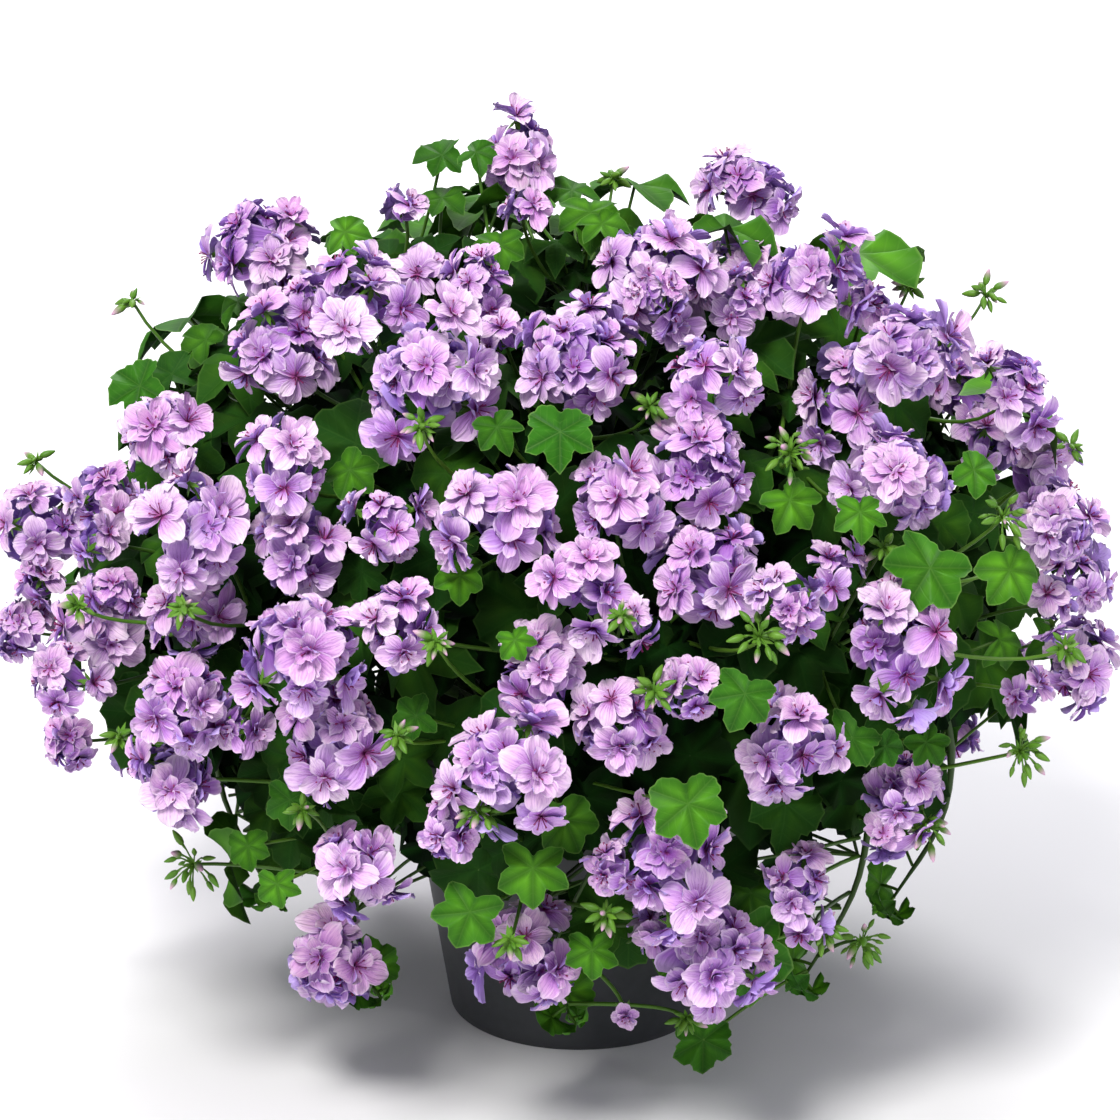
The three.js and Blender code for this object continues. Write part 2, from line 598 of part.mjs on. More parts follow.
// An ivy leaf with its stalk: five lobes round the place where the stalk joins, pleated between the veins.
function leafSolid({ point, radius, normal, down, stalk }) {
  const { along, across } = frameFor(normal, down);
  const edge = [...LOBES, SINUS, ...LOBES.slice(1).reverse().map(([a, r, h]) => [-a, r, h])];
  const at = (reach, angle, height) =>
    point.clone()
      .addScaledVector(along, reach * Math.cos(angle * DEGREE))
      .addScaledVector(across, reach * Math.sin(angle * DEGREE))
      .addScaledVector(normal, height);
  const ring = (lift) => edge.map(([a, r, h]) => at(r * radius, a, h * radius + lift));
  const join = [0, 120, 240].map((angle) => at(LEAF.petiole, angle, -LEAF.thick));
  const root = join.map((p) => p.clone().sub(point).add(stalk[0]));
  const points = [at(0, 0, 0), ...ring(0), ...ring(-LEAF.thick), ...join, ...root];
  const numbers = (count, first) => Array.from({ length: count }, (_, i) => first + i);
  const [top, bottom] = [numbers(edge.length, 1), numbers(edge.length, 1 + edge.length)];
  const [upper, lower] = [numbers(3, 1 + 2 * edge.length), numbers(3, 4 + 2 * edge.length)];
  const triangles = [...band(lower, upper), ...band(upper, bottom), ...band(bottom, top)];
  triangles.push([lower[0], lower[2], lower[1]], ...top.map((a, i) => [0, a, top[(i + 1) % top.length]]));
  return toSolid(shell(points, triangles));
}

// A cluster of buds: a small heart with a slim three-sided bud on each of its upper faces, and its stalk.
function budClusterSolid({ point, radius, facing, stalk }) {
  const swing = new THREE.Quaternion().setFromUnitVectors(UP, facing);
  const points = [];
  const triangles = [];
  const heart = point.clone().addScaledVector(facing, -0.5 * radius);
  const numberOf = (corner) => {
    const place = corner.clone().multiplyScalar(BUD.heart * radius).applyQuaternion(swing).add(heart);
    const known = points.findIndex((q) => q.distanceTo(place) < 1e-3);
    return known < 0 ? points.push(place) - 1 : known;
  };
  HEARTS.four.faces.forEach(({ normal, corners }) => {
    const numbers = corners.map(numberOf);
    if (normal.z < 0) {
      triangles.push(numbers);
      return;
    }
    const way = mix([1, normal.clone().applyQuaternion(swing)], [0.35, facing]);
    const tip = points.push(heart.clone().addScaledVector(way, BUD.length * radius)) - 1;
    numbers.forEach((a, i) => triangles.push([a, numbers[(i + 1) % 3], tip]));
  });
  const held = rod([...stalk.slice(0, -1), heart], BUD.stalk, BUD.stalk, STALK.sides);
  return wasm.Manifold.union([toSolid(shell(points, triangles)), held]);
}

// A solid turned round the pot's axis from a closed outline of [radius, height].
function turned(outline, sides) {
  const corners = [...outline, outline[0]].map(([r, z]) => new THREE.Vector2(r, z));
  return toSolid(new THREE.LatheGeometry(corners, sides).rotateX(Math.PI / 2));
}

function disc(radius, bottom, top, place, sides) {
  return wasm.Manifold.cylinder(top - bottom, radius, radius, sides).translate([place.x, place.y, bottom]);
}

function ringPlaces(count, radius, first) {
  return Array.from({ length: count }, (_, i) => {
    const angle = first + (TURN * i) / count;
    return V(radius * Math.cos(angle), radius * Math.sin(angle), 0);
  });
}

// The inner radius of the pot's wall at a height.
function potInside(z) {
  return POT.foot + ((POT.rim - POT.foot) * z) / POT.height - POT.wall;
}

function potSolid() {
  const collarFoot = POT.height - POT.collar;
  const body = turned(
    [
      [0, 0], [POT.foot, 0], [potInside(collarFoot) + POT.wall, collarFoot],
      [potInside(collarFoot) + POT.wall + POT.collarOut, collarFoot + 1.5],
      [POT.rim + POT.collarOut - 1.5, POT.height - 1], [POT.rim + POT.collarOut - 2.5, POT.height],
      [POT.rim - POT.wall + 0.6, POT.height], [potInside(POT.height - 1.5), POT.height - 1.5],
      [potInside(POT.floor), POT.floor], [0, POT.floor],
    ],
    POT.sides,
  );
  const places = ringPlaces(DRAIN.count, DRAIN.ring, 0);
  const drains = places.map((p) => disc(DRAIN.radius, -1, POT.floor + 1, p, 8));
  return body.subtract(wasm.Manifold.union(drains));
}

function soilSolid() {
  const reach = (z) => potInside(z) - SOIL.gap;
  const plug = turned(
    [
      [0, POT.floor + SOIL.gap], [reach(POT.floor), POT.floor + SOIL.gap], [reach(SOIL.top), SOIL.top],
      [reach(SOIL.top) * 0.8, SOIL.top + SOIL.lump], [0, SOIL.top - SOIL.lump / 2],
    ],
    POT.sides,
  );
  const places = [V(0, 0, 0), ...ringPlaces(SECTORS, STEM.ring, FIRST_SECTOR + SECTOR_ANGLE / 2)];
  const holes = places.map((p) => disc(STEM.root + STEM.play, STEM.foot - SOIL.gap, SOIL.top + 20, p, 8));
  return plug.subtract(wasm.Manifold.union(holes));
}

// Joining pieces into nodes.

function near(a, b) {
  const p = a.boundingBox();
  const q = b.boundingBox();
  return [0, 1, 2].every((i) => p.min[i] < q.max[i] + GAP && q.min[i] < p.max[i] + GAP);
}

function meets(a, b) {
  return near(a, b) && a.minGap(b, GAP + 0.1) < GAP;
}

function overlaps(a, b) {
  return near(a, b) && a.intersect(b).volume() > 1;
}

function largestBody(solid) {
  const bodies = solid.decompose();
  return bodies.reduce((best, body) => (body.volume() > best.volume() ? body : best));
}

// Flower heads that run into one another become one solid. Then the petals of neighbours grow until they
// meet, the nearest neighbours first, until few enough blooms are left.
function makeBlooms(heads) {
  const pairs = heads.flatMap((a, i) => heads.slice(i + 1).map((b) => [a, b]));
  const apart = ([a, b]) => a.point.distanceTo(b.point) / (a.radius + b.radius);
  pairs.sort((p, q) => apart(p) - apart(q));
  pairs.forEach(([a, b]) => {
    if (a.neighbour || b.neighbour) return;
    a.neighbour = b;
    b.neighbour = a;
  });
  heads.filter((head) => !head.neighbour).forEach((head) => {
    head.neighbour = pairs.find((pair) => pair.includes(head)).find((other) => other !== head);
  });
  let blooms = heads.map((head) => [{ head, solid: headSolid(head), swell: 1 }]);
  SWELLS.forEach((swell) => {
    pairs.filter((pair) => apart(pair) < 1.3).forEach(([a, b]) => {
      const bloomOf = (head) => blooms.find((bloom) => bloom.some((item) => item.head === head));
      const [one, other] = [bloomOf(a), bloomOf(b)];
      if (one === other || (swell > 1 && (blooms.length <= BLOOMS || one.length + other.length > 7))) return;
      const grown = [[a, one], [b, other]].map(([head, bloom]) => {
        const item = bloom.find((known) => known.head === head);
        return swell > item.swell ? { head, solid: headSolid(head, swell), swell } : item;
      });
      if (!overlaps(grown[0].solid, grown[1].solid)) return;
      const rest = blooms.filter((bloom) => bloom !== one && bloom !== other).flat();
      if (swell > 1 && rest.some((item) => grown.some((half) => meets(item.solid, half.solid)))) return;
      const joined = [...one, ...other].filter((item) => item.head !== a && item.head !== b);
      blooms = blooms.filter((bloom) => bloom !== one && bloom !== other);
      blooms.push([...joined, ...grown]);
    });
  });
  return blooms.map((bloom) => ({
    heads: bloom.map((item) => item.head),
    solid: largestBody(wasm.Manifold.union(bloom.map((item) => item.solid))),
  }));
}

// The largest blooms are nodes of their own. The smallest heads past them are fused to the stem they grow on.
function splitBlooms(blooms) {
  const size = (bloom) => bloom.heads.reduce((sum, head) => sum + head.radius ** 2, 0);
  const ordered = [...blooms].sort((a, b) => size(b) - size(a));
  ordered.slice(BLOOMS).flatMap((bloom) => bloom.heads).forEach((head) => {
    head.sunk = true;
  });
  return ordered.slice(0, BLOOMS);
}

// The branches, stalks, leaves and buds of each stem. What would run into another node is left out, and a
// head that a stalk must pass is cut clear of it.
function makeGreens(plant, blooms) {
  const greens = plant.stems.map((branches) =>
    branches.map((branch, i) => rod(branch, i ? STEM.side : STEM.root, STEM.tip, STEM.sides)),
  );
  const runsInto = (solid, sector) =>
    blooms.some((bloom) => meets(solid, bloom.solid)) ||
    greens.some((pieces, i) => i !== sector + 1 && pieces.some((piece) => meets(solid, piece)));
  plant.heads.forEach((head) => {
    const row = [...head.stalk];
    if (head.sunk) row[row.length - 1] = head.point.clone().addScaledVector(head.facing, -0.15 * head.radius);
    const solid = rod(row, STALK.radius, STALK.radius, STALK.sides, head.facing);
    const room = STALK.radius + 1;
    blooms.filter((bloom) => !bloom.heads.includes(head) && meets(solid, bloom.solid)).forEach((bloom) => {
      bloom.solid = largestBody(bloom.solid.subtract(rod(row, room, room, STALK.sides, head.facing)));
    });
    greens[head.sector + 1].push(solid, ...(head.sunk ? [headSolid(head)] : []));
  });
  plant.leaves.forEach((leaf) => {
    const solid = leafSolid(leaf);
    if (!runsInto(solid, leaf.sector)) greens[leaf.sector + 1].push(solid);
  });
  plant.buds.forEach((cluster) => {
    const solid = budClusterSolid(cluster);
    if (!runsInto(solid, cluster.sector)) greens[cluster.sector + 1].push(solid);
  });
  return greens.map((pieces) => largestBody(wasm.Manifold.union(pieces)));
}

const plant = layOut();
const blooms = splitBlooms(makeBlooms(plant.heads));
const greens = makeGreens(plant, blooms);

const materials = {
  pot: new THREE.MeshStandardMaterial({ color: 0x2c2f31, roughness: 0.55, metalness: 0 }),
  soil: new THREE.MeshStandardMaterial({ color: 0x3a2a1d, roughness: 0.95, metalness: 0 }),
  green: new THREE.MeshStandardMaterial({ color: 0x3f7d24, roughness: 0.5, metalness: 0 }),
  petal: new THREE.MeshStandardMaterial({ color: 0xc79bd6, roughness: 0.6, metalness: 0 }),
};

const geranium = new THREE.Group();
geranium.name = "potted_ivy_geranium";
const add = (name, solid, material) => geranium.add(toMesh(name, solid, material.clone()));
const numbered = (name, i) => `${name}_${String(i + 1).padStart(2, "0")}`;

add("pot", potSolid(), materials.pot);
add("soil", soilSolid(), materials.soil);
add("crown_stem", greens[0], materials.green);
greens.slice(1).forEach((solid, i) => add(numbered("leafy_stem", i), solid, materials.green));
blooms.forEach(({ heads, solid }, i) => {
  add(numbered(heads.length > 1 ? "flower_heads" : "flower_head", i), solid, materials.petal);
});

export default geranium;
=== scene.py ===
"""A potted ivy geranium: ruffled double flowers, lobed veined leaves, buds, stems, pot and compost.

The layout repeats the rules of the CAD part in millimetres, so every finer piece stands where its solid does.
Meshes are in metres.
"""

import math
from types import SimpleNamespace

import bpy
import numpy as np
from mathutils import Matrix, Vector


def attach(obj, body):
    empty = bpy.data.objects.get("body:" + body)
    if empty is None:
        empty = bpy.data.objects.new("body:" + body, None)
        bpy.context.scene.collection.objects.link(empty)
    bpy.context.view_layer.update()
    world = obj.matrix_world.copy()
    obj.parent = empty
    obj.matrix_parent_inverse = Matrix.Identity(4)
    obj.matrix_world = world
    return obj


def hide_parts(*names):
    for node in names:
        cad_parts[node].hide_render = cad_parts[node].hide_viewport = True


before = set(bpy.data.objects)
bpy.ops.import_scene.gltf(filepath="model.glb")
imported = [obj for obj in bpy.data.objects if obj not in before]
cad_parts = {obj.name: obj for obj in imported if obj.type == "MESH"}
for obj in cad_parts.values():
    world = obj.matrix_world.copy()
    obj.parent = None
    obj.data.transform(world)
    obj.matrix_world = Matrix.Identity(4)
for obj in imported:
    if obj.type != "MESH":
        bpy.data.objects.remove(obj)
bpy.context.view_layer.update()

MM = 0.001
TURN = 2 * math.pi


def vec(x, y, z):
    return np.array((x, y, z), float)


UP = vec(0, 0, 1)

# Driving dimensions, as in the CAD part.
POT = {"foot": 82, "rim": 112, "height": 185, "wall": 3, "floor": 4, "collar": 20, "collar_out": 4}
DRAIN = {"count": 6, "radius": 5, "ring": 48}
SOIL_TOP = 168
MOUND_MIDDLE, MOUND_HALF = vec(-9, 0, 275), vec(325, 285, 259)
TILT = math.radians(18)
VIEW = {"distance": 2400, "aim": vec(-12, 0, 295), "middle_pixel": 560, "mm_per_pixel": 0.62}
TO_VIEWER = vec(0, -math.cos(TILT), math.sin(TILT))
SECTORS = 8
SECTOR_ANGLE = TURN / SECTORS
FIRST_SECTOR = -math.pi / 2 - SECTOR_ANGLE / 2
COLUMN = {"narrow": 29, "wide": 81, "from": 255, "to": 315}
STEM = {
    "root": 5.4, "side": 4.2, "tip": 3, "ring": 56, "foot": 130, "hint": vec(0.31, 0.22, 0.93),
    "knot": 1.22, "slim": 0.84, "smooth": 6,
}
STALK = {"gap": 0.35, "least": 60, "apart": 6, "shares": (0.14, 0.28, 0.42, 0.56, 0.7, 0.84)}
LEAF = {
    "petiole": 1.2, "stalk": 30, "count": 74, "least": 33, "most": 44,
    "layers": (0.92, 0.8, 0.99, 0.86), "tuck": 0.95, "wave": 0.07, "spacing": 0.3, "clear": 3,
}
HEAD = {"swell": 1.06, "core": 0.36, "small": 17, "large": 39}
CROWD = {"ratio": 0.9, "rounds": 40, "step": 0.01, "least": 0.82, "most": 1.14}
BACK = {"heads": 16, "least": 30, "most": 41, "behind": 0.42, "low": -0.78}

# Flower heads as seen from the front: pixel across, pixel down, radius in pixels, how far out.
SEEN_HEADS = [
    # along the top
    (522, 158, 44, 1), (746, 190, 46, 1), (262, 252, 60, 1), (405, 212, 20, 1), (478, 286, 38, 1),
    (656, 276, 64, 1), (742, 283, 52, 0.87), (812, 285, 54, 1.05), (868, 306, 26, 0.98),
    # upper left and middle
    (360, 308, 55, 1.04), (283, 352, 52, 0.94), (425, 384, 68, 1.03), (580, 362, 64, 1),
    (712, 371, 46, 1.06),
    # upper right
    (904, 360, 54, 1.08), (845, 402, 46, 0.9), (960, 402, 38, 0.86), (1012, 393, 44, 1.05),
    (895, 480, 58, 1.02), (984, 446, 30, 0.9), (1036, 474, 42, 0.93), (1055, 532, 44, 1.06),
    (1072, 577, 36, 0.96),
    # left
    (163, 437, 46, 1), (108, 500, 40, 0.95), (44, 534, 50, 1), (200, 530, 56, 1.06), (287, 470, 42, 1),
    (302, 548, 48, 0.98), (385, 525, 38, 1), (196, 612, 46, 0.92), (98, 630, 48, 1), (24, 630, 36, 0.95),
    (66, 684, 34, 1.03), (70, 742, 28, 1), (186, 702, 54, 1.02), (182, 782, 50, 1),
    # middle
    (497, 520, 50, 1.02), (615, 494, 50, 1), (700, 468, 54, 0.96), (590, 590, 48, 1.04),
    (714, 575, 60, 0.97), (794, 607, 38, 1.06), (834, 568, 26, 1), (402, 626, 42, 1),
    (300, 650, 58, 1.07), (328, 732, 56, 0.98), (542, 678, 52, 0.98), (624, 722, 44, 0.97),
    (690, 690, 32, 1.04), (508, 767, 62, 1.05), (450, 826, 32, 1.04),
    # right and below
    (897, 650, 64, 1.02), (1074, 668, 44, 1), (790, 746, 50, 1.02), (906, 790, 44, 0.97),
    (360, 862, 44, 1), (338, 965, 52, 1), (530, 955, 54, 1), (664, 856, 60, 1), (700, 945, 66, 1.04),
    (796, 878, 34, 0.97),
]
# Single florets between them, in the same way.
SEEN_FLORETS = [
    (421, 268, 22, 1.0), (505, 338, 22, 1.0), (640, 622, 22, 1.04), (344, 636, 20, 1.02),
    (100, 542, 26, 1.0), (112, 594, 24, 0.98), (60, 656, 22, 1.02), (236, 724, 24, 0.98),
    (522, 212, 18, 1.0), (735, 302, 27, 0.98), (308, 298, 24, 1.0), (612, 866, 24, 1.04),
    (803, 926, 20, 1.04), (745, 958, 27, 1.04), (625, 1016, 17, 1.06), (655, 300, 27, 1.04),
    (1050, 606, 27, 1.0), (40, 586, 23, 1.0), (883, 838, 22, 1.0), (1028, 694, 22, 1.0),
]
# Leaves: pixel across, pixel down, radius in pixels, how far out, and the turn of the middle lobe.
SEEN_LEAVES = [
    (688, 804, 42, 1.13, 10), (533, 868, 40, 1.08, 0), (470, 912, 38, 1.1, -20), (703, 1040, 33, 1.08, 0),
    (277, 884, 25, 1.06, 10), (930, 568, 48, 0.99, -30), (1010, 570, 36, 1.02, 20),
    (860, 512, 30, 1.06, 0), (745, 694, 36, 0.97, -20), (974, 470, 26, 1.08, 60), (497, 427, 28, 1, 20),
    (590, 212, 36, 0.96, 0), (442, 155, 28, 1.02, -70), (476, 152, 24, 1.0, 60), (345, 232, 26, 1, 80),
    (140, 386, 34, 1, -60), (515, 640, 22, 0.98, 20), (460, 575, 28, 0.96, 0), (566, 820, 34, 0.96, 20),
    (592, 950, 30, 1, 0), (416, 716, 26, 0.97, -70), (885, 746, 22, 1, 20), (926, 742, 26, 1.02, 30),
    (852, 738, 34, 0.9, -30), (248, 846, 24, 0.96, 10), (290, 800, 30, 0.95, 0), (350, 470, 30, 0.95, 40),
    (560, 432, 38, 0.93, 0), (790, 500, 34, 0.98, 30), (500, 245, 30, 0.98, 0),
]
# More leaves at the edges of the mound, in the same way.
MORE_LEAVES = [
    (442, 198, 30, 0.93, 20), (572, 190, 32, 0.95, -30), (602, 224, 30, 0.95, 10), (345, 238, 26, 0.93, 60),
    (172, 374, 34, 0.93, -60), (206, 340, 30, 0.92, -40), (238, 302, 26, 0.9, 0), (1048, 640, 28, 0.93, 80),
    (1000, 640, 30, 0.93, 100), (362, 572, 30, 0.85, 0), (40, 590, 24, 0.9, -80),
]
# Clusters of buds: pixel across, pixel down, radius in pixels, how far out.
SEEN_BUDS = [
    (613, 172, 15, 1), (912, 281, 15, 1), (990, 288, 20, 1.02), (1075, 442, 16, 1.02),
    (793, 446, 26, 1.06), (1008, 512, 26, 1.1), (420, 422, 20, 1.13), (186, 866, 28, 1.02),
    (478, 812, 22, 1.13), (762, 634, 26, 1.13), (655, 690, 20, 1.1), (1070, 645, 20, 1.13),
    (1028, 750, 26, 1.04), (932, 826, 24, 1.04), (868, 946, 26, 1.04), (826, 932, 20, 1.06),
    (688, 1022, 16, 1.06),
]
# Smaller clusters, in the same way.
MORE_BUDS = [
    (130, 297, 11, 1.04), (32, 458, 13, 1.0), (886, 545, 14, 1.06), (75, 604, 14, 1.1),
    (510, 942, 14, 1.12), (180, 606, 16, 1.12), (115, 736, 16, 1.04), (300, 810, 16, 1.02),
    (650, 402, 18, 1.02), (435, 640, 18, 1.1), (396, 735, 18, 1.06), (622, 614, 18, 1.14),
    (606, 915, 18, 1.08),
]
# The plant's outline in the picture, clockwise from the top, in pixels.
OUTLINE = [
    (430, 145), (540, 125), (580, 150), (600, 180), (628, 165), (622, 215), (700, 235), (790, 245),
    (845, 290), (880, 325), (908, 300), (925, 345), (1000, 362), (1045, 410), (1085, 510), (1100, 575),
    (1062, 640), (1082, 685), (1000, 722), (960, 745), (950, 795), (925, 842), (880, 850), (832, 828),
    (805, 870), (850, 930), (780, 945), (762, 990), (722, 1062), (690, 1062), (650, 1012), (560, 1012),
    (500, 962), (440, 940), (430, 880), (400, 850), (350, 872), (290, 908), (245, 870), (250, 820),
    (130, 790), (90, 740), (20, 660), (5, 600), (20, 540), (100, 460), (130, 400), (108, 385),
    (190, 340), (230, 300), (215, 250), (240, 205), (320, 212), (370, 240), (400, 212),
]

# Layout: places and directions in millimetres.


def draws(seed):
    """A seeded row of even numbers from 0 to 1."""
    state = seed
    while True:
        state = (state * 1664525 + 1013904223) & 0xFFFFFFFF
        yield state / 4294967296


def stray_of(draw):
    """Three draws between -0.5 and 0.5 as a vector."""
    return vec(*(next(draw) - 0.5 for _ in range(3)))


def length_of(v):
    return math.sqrt(float(v @ v))


def unit(v):
    return v / length_of(v)


def mix(*parts):
    return unit(sum(share * way for share, way in parts))


def frame_for(axis, hint):
    """Two directions square to an axis. The first is the hint, made square."""
    along = hint - axis * float(hint @ axis)
    if float(along @ along) < 1e-6:
        along = vec(1, 0, 0) - axis * axis[0]
    along = unit(along)
    return along, np.cross(axis, along)


def seen_at(px, py, out):
    """The place on the mound that shows at a pixel, and the millimetres that a pixel covers there."""
    right = (px - VIEW["middle_pixel"]) * VIEW["mm_per_pixel"]
    up = (VIEW["middle_pixel"] - py) * VIEW["mm_per_pixel"]
    c, s, far = math.cos(TILT), math.sin(TILT), VIEW["distance"]
    eye = VIEW["aim"] + far * TO_VIEWER
    way = vec(right, c * far + s * up, -s * far + c * up)
    o, d = (eye - MOUND_MIDDLE) / MOUND_HALF, way / MOUND_HALF
    a, b = float(d @ d), float(o @ d)
    inside = b * b - a * (float(o @ o) - out * out)
    t = (-b - math.sqrt(max(inside, 0))) / a
    return eye + way * t, VIEW["mm_per_pixel"] * t


def outward(point):
    return unit((point - MOUND_MIDDLE) / MOUND_HALF / MOUND_HALF)


def head_at(point, radius, facing, index):
    kind = "one" if radius < HEAD["small"] else "four" if radius < HEAD["large"] else "six"
    on_corner = kind == "four" and index % 2 == 1
    depth = 0.795 if kind == "six" else 1 if on_corner else 0.577
    base = point + facing * (-depth * HEAD["core"] * radius - STALK["gap"])
    return SimpleNamespace(point=point, radius=radius, facing=facing, base=base)


def seen_head(row, index):
    px, py, size, out = row
    point, scale = seen_at(px, py, out)
    facing = mix((0.6, outward(point)), (0.35, TO_VIEWER), (0.25, UP))
    return head_at(point, size * scale * HEAD["swell"], facing, index)


def place_seen_heads():
    """Heads that crowd one another give way in depth, so that they stay where they show in the picture."""
    rows = [list(row) for row in SEEN_HEADS]
    heads = [seen_head(row, i) for i, row in enumerate(rows)]
    for _ in range(CROWD["rounds"]):
        for i in range(len(heads)):
            for j in range(i + 1, len(heads)):
                apart = math.dist(heads[i].point, heads[j].point) / (heads[i].radius + heads[j].radius)
                if apart >= CROWD["ratio"]:
                    continue
                front, back = (i, j) if rows[i][3] >= rows[j][3] else (j, i)
                rows[front][3] = min(rows[front][3] + CROWD["step"], CROWD["most"])
                rows[back][3] = max(rows[back][3] - CROWD["step"], CROWD["least"])
                heads[front] = seen_head(rows[front], front)
                heads[back] = seen_head(rows[back], back)
    return heads


def even_direction(k):
    z = 1 - 2 * ((0.5 + k * 0.7548776662466927) % 1)
    angle = TURN * ((0.5 + k * 0.5698402909980532) % 1)
    flat = math.sqrt(1 - z * z)
    return vec(flat * math.cos(angle), flat * math.sin(angle), z)


def on_mound(way, out):
    return way * MOUND_HALF * out + MOUND_MIDDLE


def add_back_heads(heads):
    draw = draws(7)
    made = 0
    for k in range(600):
        if made == BACK["heads"]:
            break
        way = even_direction(k)
        radius = BACK["least"] + (BACK["most"] - BACK["least"]) * next(draw)
        point = on_mound(way, 0.97 + 0.06 * next(draw))
        behind = -float(way @ TO_VIEWER) > BACK["behind"] and way[2] > BACK["low"]
        if not behind:
            continue
        if any(math.dist(h.point, point) <= CROWD["ratio"] * (h.radius + radius) for h in heads):
            continue
        heads.append(head_at(point, radius, mix((0.75, outward(point)), (0.35, UP)), len(heads)))
        made += 1


def sector_of(point):
    """The sector of a place round the pot, or -1 in the crown's column."""
    share = min(max((point[2] - COLUMN["from"]) / (COLUMN["to"] - COLUMN["from"]), 0), 1)
    if math.hypot(point[0], point[1]) < COLUMN["narrow"] + (COLUMN["wide"] - COLUMN["narrow"]) * share:
        return -1
    angle = (math.atan2(point[1], point[0]) - FIRST_SECTOR + 2 * TURN) % TURN
    return math.floor(angle / SECTOR_ANGLE) % SECTORS


def crown_branches():
    top = MOUND_MIDDLE[2] + MOUND_HALF[2]
    left, right = vec(-6, 4, 300), vec(-2, -3, 355)
    foot, collar = vec(0, 0, STEM["foot"]), vec(0, 0, SOIL_TOP + 12)
    return [
        [foot, collar, vec(2, 0, 235), left, right, vec(4, 2, top - 100), vec(0, 0, top - 45)],
        [left, vec(-24, 12, 350), vec(-40, 16, 400), vec(-48, 20, top - 85)],
        [right, vec(20, -14, 385), vec(40, -22, 420), vec(50, -24, top - 80)],
    ]


def leafy_branches(sector):
    """One branch climbs, one goes out and one trails down beside the pot."""
    middle = FIRST_SECTOR + (sector + 0.5) * SECTOR_ANGLE
    wide = 1 / math.hypot(math.cos(middle) / MOUND_HALF[0], math.sin(middle) / MOUND_HALF[1])
    side = 1 if sector % 2 else -1

    def at(reach, z, aside):
        angle = middle + side * math.radians(aside)
        return vec(reach * math.cos(angle), reach * math.sin(angle), z)

    foot, collar = at(STEM["ring"], STEM["foot"], 0), at(STEM["ring"], SOIL_TOP + 12, 0)
    climbing = [at(82, 255, 0), at(0.39 * wide, 338, 2), at(0.5 * wide, 400, 4), at(0.52 * wide, 436, 6)]
    rising = [at(92, 243, -5), at(0.5 * wide, 304, -8)]
    reaching = rising + [at(0.68 * wide, 320, -10), at(0.8 * wide, 298, -9)]
    over = [at(96, 226, 6), at(0.52 * wide, 254, 9)]
    trailing = over + [at(0.69 * wide, 218, 9), at(0.71 * wide, 140, 6), at(0.6 * wide, 62, 2)]
    return [[foot, collar] + climbing, [collar] + reaching, [collar] + trailing]


def stations_of(branches):
    """The places on a stem's branches that a stalk may leave from, each with its frame."""
    rows = []
    for branch in branches:
        for i in range(1, len(branch) - 1):
            step = branch[i + 1] - branch[i]
            along, across = frame_for(unit(step), STEM["hint"])
            rows += [(branch[i] + share * step, along, across) for share in STALK["shares"]]
    return [np.array(column) for column in zip(*rows)]


def dots(a, b):
    return np.sum(a * b, axis=-1)


def stalk_for(to, facing, least, plant, steps):
    """A bent stalk that comes up behind what it carries, from the best place on its sector's stem."""
    centres, radii = plant.head_points, plant.head_radii
    head_away = np.linalg.norm(centres - to, axis=1)
    near = (head_away > radii) & (head_away < 160)
    places, along, across = plant.stations[sector_of(to) + 1]
    lean = to - places
    aside = np.sign(dots(lean, along))[:, None] * along + np.sign(dots(lean, across))[:, None] * across
    starts = places + 0.35 * STEM["tip"] * aside
    away = np.linalg.norm(to - starts, axis=1)
    bends = to - facing * (0.42 * away)[:, None]
    t = np.linspace(0, 1, steps + 1)[:, None]
    stalks = (1 - t) ** 2 * starts[:, None] + 2 * t * (1 - t) * bends[:, None] + t**2 * to
    middles = (stalks[:, 1:] + stalks[:, :-1]) / 2
    tested = np.concatenate([stalks[:, :-1], middles], axis=1)
    gaps = np.linalg.norm(tested[:, :, None] - centres[near], axis=3)
    hits = np.sum(np.any(gaps < 0.95 * radii[near] + 2, axis=1), axis=1)
    roots = np.array(plant.roots) if plant.roots else np.full((1, 3), 1e9)
    close = np.sum(np.linalg.norm(starts[:, None] - roots, axis=2) < STALK["apart"], axis=1)
    needless = 3 * np.maximum(least - away, 0) + 0.3 * np.maximum(starts[:, 2] - to[2], 0)
    best = int(np.argmin(away + needless + 150 * hits + 50 * close))
    plant.roots.append(starts[best])
    return stalks[best]


def disc_distances(centres, disc):
    apart = centres - disc.point
    over = apart @ disc.normal
    beside = np.sqrt(np.maximum(dots(apart, apart) - over * over, 0))
    return np.hypot(over, np.maximum(beside - disc.radius, 0))


def lies_beside(leaf, other):
    over = abs(float((leaf.point - other.point) @ other.normal))
    lean = math.sqrt(max(1 - float(leaf.normal @ other.normal) ** 2, 0))
    return over > leaf.radius * lean + LEAF["wave"] * (leaf.radius + other.radius)


def leaves_apart(a, b):
    apart = math.dist(a.point, b.point)
    if apart > a.radius + b.radius + 1:
        return True
    return apart > LEAF["spacing"] * (a.radius + b.radius) and (lies_beside(a, b) or lies_beside(b, a))


def pierced(starts, ends, leaf):
    """Whether any of a row of straight pieces passes through a leaf."""
    first, last = (starts - leaf.point) @ leaf.normal, (ends - leaf.point) @ leaf.normal
    near = np.minimum(np.abs(first), np.abs(last)) < LEAF["clear"]
    gap = np.where(first == last, 1, first - last)
    share = np.where(near, (np.abs(last) < np.abs(first)).astype(float), first / gap)
    meeting = starts + share[:, None] * (ends - starts)
    close = np.linalg.norm(meeting - leaf.point, axis=1) < leaf.radius + LEAF["clear"]
    return bool(np.any(close & ((first * last <= 0) | near)))


